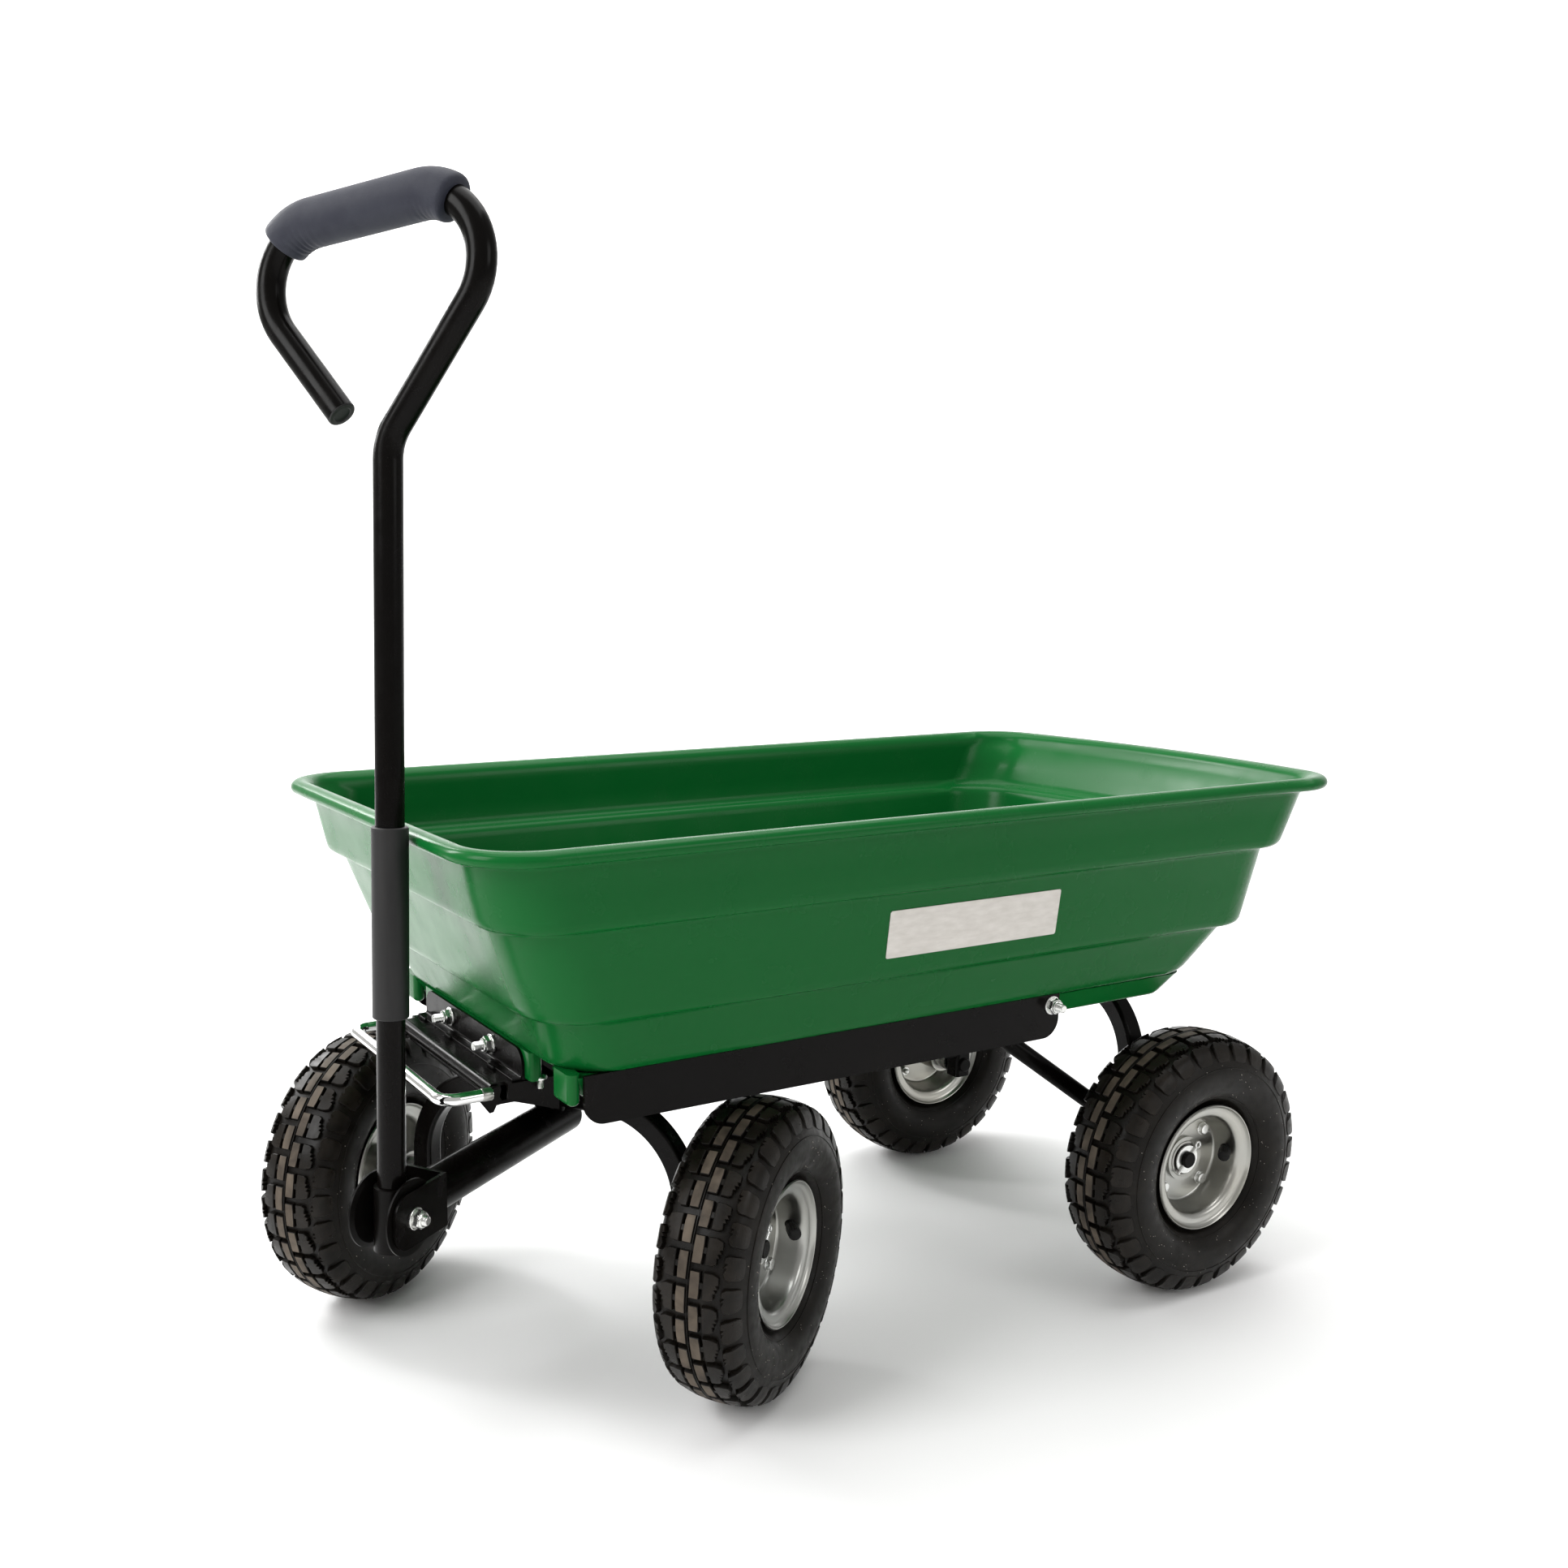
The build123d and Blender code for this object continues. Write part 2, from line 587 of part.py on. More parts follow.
def front_bolts():
    bolts = Part()
    for y in (-46, 46):
        shank = rod_x(y, 303, 4.0, -379.5, -346)
        nut = hex_x(y, 303, 13, -370.5, -364.2)
        flange = rod_x(y, 303, 8.8, -364.2, -362.3)
        head = rod_x(y, 303, 7.5, -348.9, -345.5)
        bolts += shank + nut + flange + head
    return bolts


def hinge_straps():
    straps = Part()
    for side in (-1, 1):
        ear = rod_y(TIP_X, TIP_Z, 9, side * 60, side * 64)
        ear += block(TIP_X - 9, TIP_X + 9, min(side * 60, side * 64), max(side * 60, side * 64),
                     TIP_Z, FLOOR_Z - 0.05)
        flange = block(TIP_X - 17, TIP_X + 17, min(side * 60, side * 86), max(side * 60, side * 86),
                       FLOOR_Z - 2.5, FLOOR_Z - 0.05)
        straps += ear + flange - rod_y(TIP_X, TIP_Z, TIP_ROD_R + RUN_GAP, side * 55, side * 90)
    return straps


# ---- latch -----------------------------------------------------------------------------------
def latch_shaft():
    """Shaft in the pivot tube with a hook plate at each end."""
    body = rod_y(LATCH_X, LATCH_Z, 4.0, -107, 107)
    outline = Polyline((LATCH_X - 14, LATCH_Z + 4.5), (LATCH_X + 3, LATCH_Z + 4.5),
                       (LATCH_X + 3.5, LATCH_Z - 6), (LATCH_X - 2, LATCH_Z - 17),
                       (LATCH_X - 5.5, LATCH_Z - 17.5), (LATCH_X - 14, LATCH_Z - 6), close=True)
    for side in (-1, 1):
        hook = extrude(Plane.XZ * make_face(outline), amount=2.6)
        body += Pos(0, 106.1 if side > 0 else -103.5, 0) * hook
    return body


def latch_bail():
    """Chrome rod bent into a U whose legs hold the two hook plates."""
    x0 = LATCH_X - 6
    x1 = LATCH_X - 48
    y = 110.6 + 0.6
    z = LATCH_Z + 1
    points = ((x0, -y, z), (x1, -y, z), (x1, y, z), (x0, y, z))
    path = FilletPolyline(*points, radius=14)
    start = Plane(origin=points[0], z_dir=(-1, 0, 0))
    return sweep(start * Circle(BAIL_R), path=path)


# ---- build -----------------------------------------------------------------------------------
def main():
    os.makedirs("parts", exist_ok=True)
    wheel("rear_left", left_wheel(REAR_AXLE_X))
    wheel("rear_right", right_wheel(REAR_AXLE_X))
    turn = Pos(KINGPIN_X, 0, 0) * Rot(0, 0, STEER_REST)
    wheel("front_left", turn * left_wheel(0))
    wheel("front_right", turn * right_wheel(0))

    save("rear_axle", Pos(REAR_AXLE_X, 0, 0) * axle(REAR_ARCH[0]))
    save("rear_axle_fixings", Pos(REAR_AXLE_X, 0, 0) * axle_fixings(REAR_ARCH[0] + ARCH_TUBE / 2))
    save("rear_arch", Pos(REAR_AXLE_X, 0, 0) * arch(*REAR_ARCH))
    save("chassis_beam", chassis_beam())
    save("kingpin", kingpin())
    save("brace_left", brace(-1))
    save("brace_right", brace(1))
    save("hinge_rod", hinge_rod())
    save("latch_striker", latch_striker())

    save("front_axle", steered(axle(FRONT_ARCH[0])))
    save("front_axle_fixings", steered(axle_fixings(FRONT_ARCH[0] + ARCH_TUBE / 2)))
    save("front_arch", steered(front_arch()))
    save("turn_plate", steered(turn_plate()))
    save("tongue", steered(tongue()))
    save("yoke", steered(yoke()))
    save("pivot_bolt", steered(pivot_bolt()))

    save("handle_tube", on_handle(handle_tube()))
    save("foam_grip", on_handle(foam_grip()))
    save("bumper_sleeve", on_handle(bumper_sleeve()))
    save("handle_socket", on_handle(handle_socket()))
    save("pivot_discs", on_handle(pivot_discs()))

    save("tray", rounded_tray())
    save("label_plate", label_plate())
    save("side_plate_left", side_plate(-1))
    save("side_plate_right", side_plate(1))
    save("side_bolts", side_bolts())
    save("latch_channel", latch_channel())
    save("front_bracket", front_bracket())
    save("front_bolts", front_bolts())
    save("hinge_straps", hinge_straps())
    save("latch_shaft", latch_shaft())
    save("latch_bail", latch_bail())
    print("low", [round(min(v), 2) for v in zip(*LOW)])
    print("high", [round(max(v), 2) for v in zip(*HIGH)])


main()
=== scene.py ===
"""Garden dump cart: the looks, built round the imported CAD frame. Metres, +Z up, handle towards -X."""
import json
import math
import random

import bmesh
import bpy
from mathutils import Matrix, Vector
from mathutils.geometry import tessellate_polygon

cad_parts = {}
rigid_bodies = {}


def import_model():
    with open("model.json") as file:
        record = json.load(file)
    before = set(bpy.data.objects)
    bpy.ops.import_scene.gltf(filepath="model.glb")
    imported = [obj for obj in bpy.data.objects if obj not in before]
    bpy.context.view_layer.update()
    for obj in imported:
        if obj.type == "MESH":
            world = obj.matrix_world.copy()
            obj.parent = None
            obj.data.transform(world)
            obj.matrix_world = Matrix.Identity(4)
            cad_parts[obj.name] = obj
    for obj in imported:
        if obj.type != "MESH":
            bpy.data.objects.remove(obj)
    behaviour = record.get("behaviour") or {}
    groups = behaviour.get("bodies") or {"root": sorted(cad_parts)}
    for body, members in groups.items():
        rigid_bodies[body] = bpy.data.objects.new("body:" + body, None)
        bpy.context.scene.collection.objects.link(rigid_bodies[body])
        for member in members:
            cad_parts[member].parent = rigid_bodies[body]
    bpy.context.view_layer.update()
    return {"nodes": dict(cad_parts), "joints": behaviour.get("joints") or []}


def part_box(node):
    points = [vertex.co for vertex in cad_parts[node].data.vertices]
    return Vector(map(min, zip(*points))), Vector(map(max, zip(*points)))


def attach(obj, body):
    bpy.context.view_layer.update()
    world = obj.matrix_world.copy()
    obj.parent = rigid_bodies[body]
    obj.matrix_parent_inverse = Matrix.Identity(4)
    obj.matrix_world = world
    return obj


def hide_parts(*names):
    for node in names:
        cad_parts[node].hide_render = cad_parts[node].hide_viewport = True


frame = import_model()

MM = 0.001

JOINTS = {joint["name"]: joint for joint in frame["joints"]}

# ---- driving dimensions of the pieces built here, in millimetres ------------------------------
TREAD_R = 129.0
PITCHES = 29               # tread pattern repeats round the tyre
PITCH = 2 * math.pi * TREAD_R / PITCHES
BLOCK_H = 4.2
# the carcass from the middle of the tread out to the bead: (radius, distance from the middle)
CARCASS = ((124.8, 0), (124.4, 9), (123.2, 18), (120.8, 27), (116.8, 32.4), (111.2, 36.3), (104.9, 39.1),
           (98, 41.3), (90, 41.8), (81, 40.4), (74, 36.8), (68.6, 31.6), (65.2, 27.2), (62, 25.2))
BEAD_INSIDE = ((55, 24.5), (54.2, 15), (60, 16), (70, 28), (88, 36), (104, 34), (114, 25), (119.5, 12))
# blocks as rows of (along the tread, near edge, far edge), edges measured out from the middle
INNER_BLOCK = ((0, 1.4, 9.4), (5.5, 1.4, 9.8), (11, 1.4, 9.8), (16.5, 1.4, 9.8), (22, 1.4, 9.4))
OUTER_BLOCK = ((0, 12.4, 19.5), (2.2, 12.4, 23.8), (8.2, 12.4, 24.4), (8.7, 12.4, 22.4), (11.6, 12.4, 24.2),
               (12.1, 12.4, 21.2), (15.0, 12.4, 22.8), (15.5, 12.4, 20.6), (20.2, 12.4, 21.0),
               (22, 12.4, 18.4))
LUG = ((0, 29.5, 40.5), (1.8, 26.9, 44.6), (6.0, 26.4, 45.6), (6.5, 28.6, 45.8), (9.6, 26.2, 45.8),
       (10.1, 28.2, 45.8), (14.6, 26.6, 45.8), (18.8, 27.6, 44.6), (20.6, 30.0, 40.5))
BRIDGE = ((8.4, 9.0, 12.8), (13.6, 9.0, 12.8))
# the pressed rim's skin from the hub out to its rolled lip: (radius, distance from the middle)
RIM_LINE = ((18, 0), (30, 0), (40.6, 0), (43.6, 0.7), (45.2, 2.6), (46.2, 6), (48.3, 15), (49.9, 22.4),
            (51.4, 25.2), (54, 26.4), (57.4, 26.9), (60.2, 28.2), (62.0, 30.2), (62.7, 31.4))
RIM_SHEET = 1.8
VALVE_ROOT = (66.0, 0.0, 8.1)
VALVE_TIP = (33.0, -24.0, 3.0)
RIM_BOLT_R = 36.0
# how far each tyre's tread is turned on its wheel, in degrees
WHEEL_TURNS = {"rear_left": 4.0, "rear_right": 0.0, "front_left": 2.0, "front_right": 7.0}
HANDLE_LEAN = math.radians(2.2)
HANDLE_PATH = ((0, -22), (0, 581), (-136.3, 756.6), (155.5, 727.4), (42, 601))
HANDLE_BENDS = (40.0, 46.0, 45.7)
HANDLE_TUBE_R = 11.0
GRIP_R = 17.3
# the tray's level outlines: (z, x front, x rear, half width, corner radius, bulge of the rear end)
TRAY_LEVELS = (((315.0, -359.0, 339.0, 190.0, 50.0, 13.0), (359.0, -376.0, 386.0, 199.0, 52.0, 17.0)),
               ((359.0, -387.0, 398.0, 210.0, 55.0, 19.0), (437.0, -417.0, 415.0, 220.0, 57.0, 22.0)),
               ((437.0, -427.4, 427.0, 231.3, 58.0, 24.0), (492.0, -440.0, 455.5, 232.5, 58.0, 26.0)),
               ((491.5, -456.7, 473.4, 248.9, 62.0, 27.0), (492.5, -456.7, 473.4, 248.9, 62.0, 27.0)))
# the wall's section, from the floor's foot up the outside, over the lip and down the inside:
# (band, height, distance in from the band's outline)
TRAY_SKIN = (
    (0, 311.0, 13.0), (0, 311.0, 10.0), (0, 311.4, 6.6), (0, 312.7, 3.5), (0, 315.0, 1.3), (0, 318.4, 0.1),
    (0, 323.0, 0.0), (0, 338.0, 0.0), (0, 353.5, 0.0), (0, 356.6, -0.7), (0, 358.4, -2.3), (0, 359.0, -4.8),
    (1, 359.0, 5.4), (1, 359.4, 3.3), (1, 360.9, 1.3), (1, 363.6, 0.1), (1, 368.0, 0.0), (1, 400.0, 0.0),
    (1, 431.5, 0.0), (1, 434.6, -0.7), (1, 436.4, -2.3), (1, 437.0, -4.8),
    (2, 437.0, 5.2), (2, 437.4, 3.2), (2, 438.9, 1.3), (2, 441.6, 0.1), (2, 446.0, 0.0), (2, 465.0, 0.0),
    (2, 486.0, 0.0), (2, 489.2, -0.9), (2, 491.0, -2.8), (2, 491.5, -5.6),
    (3, 491.5, 5.6), (3, 491.9, 3.4), (3, 493.1, 1.4), (3, 495.2, 0.2), (3, 497.4, 0.0), (3, 499.8, 0.7),
    (3, 501.9, 2.4), (3, 503.2, 4.9), (3, 503.7, 7.6), (3, 503.7, 9.6), (3, 503.1, 12.6), (3, 501.6, 15.6),
    (3, 499.2, 18.2), (3, 495.8, 20.0), (3, 491.5, 20.9),
    (2, 486.0, 4.6), (2, 465.0, 4.5), (2, 450.5, 4.5), (2, 446.2, 5.3), (2, 443.2, 7.5), (2, 441.8, 10.8),
    (1, 441.0, 1.4), (1, 439.0, 3.4), (1, 435.8, 4.4), (1, 431.0, 4.5), (1, 400.0, 4.5), (1, 372.5, 4.5),
    (1, 368.2, 5.3), (1, 365.2, 7.5), (1, 363.8, 10.8), (0, 363.0, 2.6), (0, 361.0, 4.0), (0, 357.8, 4.5),
    (0, 353.0, 4.5), (0, 338.0, 4.5), (0, 324.0, 4.5), (0, 319.6, 5.2), (0, 317.2, 7.0), (0, 316.1, 9.0),
    (0, 316.0, 9.8))
# one runner's rings, outside and inside: (height, x front, x rear, near edge, far edge)
RUNNER_OUT = ((311.0, -355.5, 315.0, 146.2, 183.2), (308.0, -352.9, 311.2, 146.7, 182.2),
              (299.5, -346.4, 301.6, 148.4, 179.6), (294.6, -342.7, 296.1, 149.3, 178.1),
              (292.4, -340.4, 293.2, 150.4, 176.9), (291.2, -337.0, 289.6, 153.0, 174.4),
              (291.0, -333.0, 285.0, 156.0, 171.4))
RUNNER_IN = ((316.0, -322.5, 285.0, 149.2, 179.8), (315.6, -321.6, 284.0, 150.1, 179.0),
             (314.0, -320.9, 283.0, 150.9, 178.3), (306.0, -318.8, 276.5, 152.8, 175.2),
             (298.6, -316.9, 270.6, 154.5, 172.6), (296.6, -314.8, 268.4, 156.2, 170.9),
             (296.0, -311.0, 264.8, 159.4, 168.0))
TRAY_FOOT = (-356.8, -345.6, 152.0, 183.6, 288.0)     # x front, x rear, near edge, far edge, height
TRAY_NOSE = (-359.6, -348.0, -118.0, 118.0, 289.2)    # x front, x rear, y low, y high, height
TRAY_FEET_TOP = 314.0
CAMERA_SPOT = (-0.82033, -1.20007, 0.69848)
CAMERA_TURNS = ((-29.406, "Z"), (79.793, "X"), (0.163, "Z"))
# name, place, point lit, width, height (metres) and power (watts) of each softbox
SOFTBOXES = (("top_light", (0.2, 0.4, 3.6), (0.0, 0.1, 0.2), 3.4, 3.4, 120),
             ("left_light", (-2.6, -0.2, 1.9), (0.0, 0.0, 0.4), 1.2, 1.6, 55),
             ("window_left", (-1.5, 1.5, 1.55), (0.42, 0.0, 0.45), 0.3, 0.9, 16),
             ("window_right", (-0.75, 2.0, 1.6), (0.42, 0.0, 0.45), 0.3, 0.9, 16),
             ("backdrop_light", (1.2, 2.2, 4.2), (3.0, 5.2, 2.2), 3.0, 1.6, 260),
             ("back_light", (-1.4, 3.2, 2.6), (0.2, 0.0, 0.4), 2.4, 1.2, 60),
             ("front_fill", (1.6, -3.2, 1.7), (0.1, 0.0, 0.3), 1.4, 1.4, 18))


# ---- materials --------------------------------------------------------------------------------
class Finish:
    """A Principled material, with short calls for the nodes that give it detail."""

    def __init__(self, name, colour, roughness, **sockets):
        self.material = bpy.data.materials.new(name)
        self.material.use_nodes = True
        self.tree = self.material.node_tree
        self.shader = self.tree.nodes["Principled BSDF"]
        self.shader.inputs["Base Color"].default_value = (*colour, 1.0)
        self.shader.inputs["Roughness"].default_value = roughness
        for key, value in sockets.items():
            self.shader.inputs[key.replace("_", " ")].default_value = value
        self.coords = self.tree.nodes.new("ShaderNodeTexCoord").outputs["Object"]

    def link(self, source, socket):
        self.tree.links.new(source, self.shader.inputs[socket])

    def stretched(self, scale):
        node = self.tree.nodes.new("ShaderNodeMapping")
        node.inputs["Scale"].default_value = scale
        self.tree.links.new(self.coords, node.inputs["Vector"])
        return node.outputs["Vector"]

    def noise(self, scale, detail=3.0, stretch=None, distortion=0.0):
        node = self.tree.nodes.new("ShaderNodeTexNoise")
        node.inputs["Scale"].default_value = scale
        node.inputs["Detail"].default_value = detail
        node.inputs["Distortion"].default_value = distortion
        source = self.stretched(stretch) if stretch else self.coords
        self.tree.links.new(source, node.inputs["Vector"])
        return node.outputs["Fac"]

    def cells(self, scale, feature="F1"):
        node = self.tree.nodes.new("ShaderNodeTexVoronoi")
        node.feature = feature
        node.inputs["Scale"].default_value = scale
        self.tree.links.new(self.coords, node.inputs["Vector"])
        return node.outputs["Distance"]

    def span(self, source, low, high, to_low, to_high):
        node = self.tree.nodes.new("ShaderNodeMapRange")
        for key, value in zip(("From Min", "From Max", "To Min", "To Max"), (low, high, to_low, to_high)):
            node.inputs[key].default_value = value
        self.tree.links.new(source, node.inputs["Value"])
        return node.outputs["Result"]

    def blend(self, share, first, second):
        node = self.tree.nodes.new("ShaderNodeMix")
        node.data_type = "RGBA"
        for socket, value in ((node.inputs[6], first), (node.inputs[7], second)):
            if isinstance(value, tuple):
                socket.default_value = (*value, 1.0)
            else:
                self.tree.links.new(value, socket)
        self.tree.links.new(share, node.inputs["Factor"])
        return node.outputs[2]

    def bump(self, height, depth_mm, strength=1.0, over=None):
        node = self.tree.nodes.new("ShaderNodeBump")
        node.inputs["Strength"].default_value = strength
        node.inputs["Distance"].default_value = depth_mm * MM
        self.tree.links.new(height, node.inputs["Height"])
        if over:
            self.tree.links.new(over, node.inputs["Normal"])
        self.link(node.outputs["Normal"], "Normal")
        return node.outputs["Normal"]


def green_plastic():
    f = Finish("green_polyethylene", (0.0030, 0.098, 0.0175), 0.25, Specular_IOR_Level=0.12)
    clouds = f.noise(2.2, 2.0)
    colour = f.blend(f.span(clouds, 0.35, 0.65, 0.0, 1.0), (0.0026, 0.093, 0.0165), (0.0032, 0.105, 0.019))
    scuffs = f.noise(34.0, 6.0, stretch=(1.0, 1.0, 9.0))
    f.link(f.blend(f.span(scuffs, 0.62, 0.8, 0.0, 0.35), colour, (0.006, 0.112, 0.024)), "Base Color")
    f.link(f.span(f.noise(26.0, 5.0), 0.3, 0.7, 0.19, 0.3), "Roughness")
    f.bump(f.noise(420.0, 2.0), 0.05, 0.5, f.bump(f.noise(6.0, 1.0), 0.9, 0.25))
    return f.material


def black_paint(name="black_powder_coat", roughness=0.2):
    f = Finish(name, (0.0026, 0.0022, 0.0020), roughness, Specular_IOR_Level=0.08)
    dust = f.span(f.noise(15.0, 6.0), 0.55, 0.8, 0.0, 0.5)
    f.link(f.blend(dust, (0.0024, 0.0020, 0.0018), (0.007, 0.0058, 0.0048)), "Base Color")
    f.link(f.span(f.noise(60.0, 4.0), 0.3, 0.7, roughness - 0.03, roughness + 0.1), "Roughness")
    f.bump(f.noise(380.0, 2.0), 0.06, 0.6)
    return f.material


def rubber(name, dark, dusty, share_low, share_high, roughness):
    """Tyre rubber: dark compound with a film of dust that is uneven and gathers in patches."""
    f = Finish(name, dark, roughness, Specular_IOR_Level=0.16)
    patches = f.noise(38.0, 6.0, distortion=0.6)
    f.link(f.blend(f.span(patches, 0.3, 0.72, share_low, share_high), dark, dusty), "Base Color")
    f.link(f.span(f.noise(120.0, 4.0), 0.3, 0.7, roughness - 0.08, roughness + 0.12), "Roughness")
    f.bump(f.noise(900.0, 3.0), 0.08, 0.7, f.bump(f.noise(140.0, 4.0), 0.25, 0.5))
    return f.material


def zinc(name, first, second, roughness, metallic=1.0):
    """Zinc plate: faint clouds of passivation, slight stains and a very shallow grain."""
    f = Finish(name, first, roughness, Metallic=metallic)
    f.link(f.blend(f.span(f.noise(9.0, 2.0), 0.3, 0.7, 0.0, 1.0), first, second), "Base Color")
    stains = f.span(f.noise(60.0, 4.0), 0.35, 0.75, roughness - 0.02, roughness + 0.06)
    f.link(stains, "Roughness")
    f.bump(f.noise(260.0, 4.0), 0.012, 0.2)
    return f.material


def foam():
    f = Finish("grip_foam", (0.016, 0.018, 0.030), 0.66, Specular_IOR_Level=0.35)
    f.link(f.blend(f.span(f.noise(55.0, 5.0), 0.35, 0.7, 0.0, 1.0), (0.014, 0.0155, 0.027),
                   (0.023, 0.025, 0.037)), "Base Color")
    f.bump(f.cells(1500.0), 0.22, 0.7, f.bump(f.noise(70.0, 4.0), 0.5, 0.4))
    return f.material


def sleeve():
    f = Finish("sleeve_plastic", (0.008, 0.0078, 0.0082), 0.48, Specular_IOR_Level=0.3)
    streaks = f.noise(60.0, 4.0, stretch=(1.0, 1.0, 0.08))
    f.link(f.blend(f.span(streaks, 0.4, 0.75, 0.0, 1.0), (0.0075, 0.0072, 0.0078), (0.017, 0.0165, 0.016)),
           "Base Color")
    f.bump(f.noise(500.0, 3.0), 0.08, 0.6, f.bump(streaks, 0.3, 0.4))
    return f.material


def chrome():
    f = Finish("bail_chrome", (0.86, 0.86, 0.85), 0.07, Metallic=1.0)
    f.link(f.span(f.noise(45.0, 6.0), 0.4, 0.8, 0.05, 0.2), "Roughness")
    f.bump(f.noise(220.0, 3.0), 0.03, 0.4)
    return f.material


def label_film():
    f = Finish("label_film", (0.60, 0.57, 0.53), 0.38)
    fibres = f.noise(240.0, 5.0, stretch=(0.3, 1.0, 1.0))
    f.link(f.blend(f.span(fibres, 0.3, 0.7, 0.0, 1.0), (0.56, 0.53, 0.49), (0.66, 0.63, 0.59)), "Base Color")
    f.bump(f.noise(60.0, 3.0), 0.08, 0.4)
    return f.material


def floor_paper():
    f = Finish("floor_paper", (0.86, 0.86, 0.86), 0.8)
    f.link(f.blend(f.noise(3.0, 3.0), (0.85, 0.85, 0.85), (0.88, 0.88, 0.88)), "Base Color")
    return f.material


GREEN = green_plastic()
BLACK = black_paint()
BLACK_SATIN = black_paint("black_satin_paint", 0.34)
RUBBER = rubber("tyre_rubber", (0.0024, 0.0018, 0.0012), (0.0085, 0.0066, 0.0044), 0.0, 0.8, 0.4)
RUBBER_TOP = rubber("tyre_block_dusty", (0.020, 0.0155, 0.012), (0.125, 0.100, 0.076), 0.15, 1.0, 0.6)
RUBBER_SIDE = rubber("tyre_block_worn", (0.0036, 0.0028, 0.0020), (0.016, 0.0125, 0.0092), 0.0, 0.85, 0.34)
VALVE = rubber("valve_rubber", (0.004, 0.004, 0.004), (0.012, 0.0115, 0.011), 0.0, 0.6, 0.45)
FLECK = rubber("tyre_flecks", (0.16, 0.15, 0.135), (0.32, 0.30, 0.27), 0.0, 1.0, 0.7)
ZINC_RIM = zinc("zinc_rim", (0.43, 0.42, 0.38), (0.385, 0.39, 0.375), 0.3)
ZINC_BOLT = zinc("zinc_fastener", (0.78, 0.78, 0.75), (0.70, 0.71, 0.70), 0.26)
BEARING = zinc("bearing_steel", (0.30, 0.29, 0.28), (0.18, 0.17, 0.16), 0.36)
FOAM = foam()
SLEEVE = sleeve()
CHROME = chrome()
LABEL = label_film()
FLOOR = floor_paper()


# ---- mesh making ------------------------------------------------------------------------------
class Shape:
    """Points and faces gathered before they become one mesh. Points are in millimetres."""

    def __init__(self):
        self.points = []
        self.faces = []
        self.slots = []

    def grid(self, rows, slot=0, ring=False, loop=False):
        """Quads between rows of points. ring closes each row, loop joins the last row to the first."""
        base = len(self.points)
        width = len(rows[0])
        for row in rows:
            self.points.extend(row)
        for i in range(len(rows) if loop else len(rows) - 1):
            here = base + i * width
            there = base + (i + 1) % len(rows) * width
            for j in range(width if ring else width - 1):
                k = (j + 1) % width
                self.faces.append((here + j, here + k, there + k, there + j))
                self.slots.append(slot)
        return base

    def lid(self, first, count, slot=0):
        self.faces.append(tuple(range(first, first + count)))
        self.slots.append(slot)

    def skin(self, rows, slot=0):
        """A closed skin: rings joined one to the next, with a lid on each end."""
        base = self.grid(rows, slot, ring=True)
        width = len(rows[0])
        self.lid(base, width, slot)
        self.lid(base + (len(rows) - 1) * width, width, slot)

    def build(self, name, materials, body, slot_name, place=None, crease=32.0):
        mesh = bpy.data.meshes.new(name)
        mesh.from_pydata([Vector(p) * MM for p in self.points], [], self.faces)
        for material in materials:
            mesh.materials.append(material)
        mesh.polygons.foreach_set("material_index", self.slots)
        work = bmesh.new()
        work.from_mesh(mesh)
        bmesh.ops.recalc_face_normals(work, faces=work.faces)
        work.to_mesh(mesh)
        work.free()
        mesh.polygons.foreach_set("use_smooth", [True] * len(mesh.polygons))
        mesh.set_sharp_from_angle(angle=math.radians(crease))
        return add_piece(name, mesh, body, place)


def add_piece(name, mesh, body, place=None):
    """A piece whose place is in its mesh, as the CAD nodes' is."""
    if place is not None:
        mesh.transform(place)
    piece = bpy.data.objects.new(name, mesh)
    bpy.context.collection.objects.link(piece)
    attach(piece, body)
    return piece


def smooth_line(points, steps=6):
    """Points on a Catmull-Rom curve through the given ones."""
    line = []
    last = len(points) - 1
    for i in range(last):
        p = [Vector(points[min(max(k, 0), last)]) for k in (i - 1, i, i + 1, i + 2)]
        for step in range(steps):
            t = step / steps
            line.append(0.5 * (2 * p[1] + (p[2] - p[0]) * t + (2 * p[0] - 5 * p[1] + 4 * p[2] - p[3]) * t * t
                               + (3 * p[1] - p[0] - 3 * p[2] + p[3]) * t ** 3))
    line.append(Vector(points[-1]))
    return line


def circle(radius, height, count, start=0.0):
    """A ring of points about local Z."""
    return [Vector((radius * math.cos(start + 2 * math.pi * k / count),
                    radius * math.sin(start + 2 * math.pi * k / count), height)) for k in range(count)]


def lathe(shape, profile, place, slot=0, count=32):
    """A closed turned shape from (radius, height) points about the placed Z axis."""
    rows = [[place @ p for p in circle(max(r, 0.05), z, count)] for r, z in profile]
    shape.skin(rows, slot)


def prism(shape, flats, profile, place, slot=0, count=36):
    """A hexagon bar cut by a turned profile of (radius, height), which chamfers its corners."""
    rows = []
    for radius, height in profile:
        row = []
        for k in range(count):
            angle = 2 * math.pi * k / count
            flat = flats / 2 / math.cos((angle % (math.pi / 3)) - math.pi / 6)
            reach = min(radius, flat)
            row.append(place @ Vector((reach * math.cos(angle), reach * math.sin(angle), height)))
        rows.append(row)
    shape.skin(rows, slot)


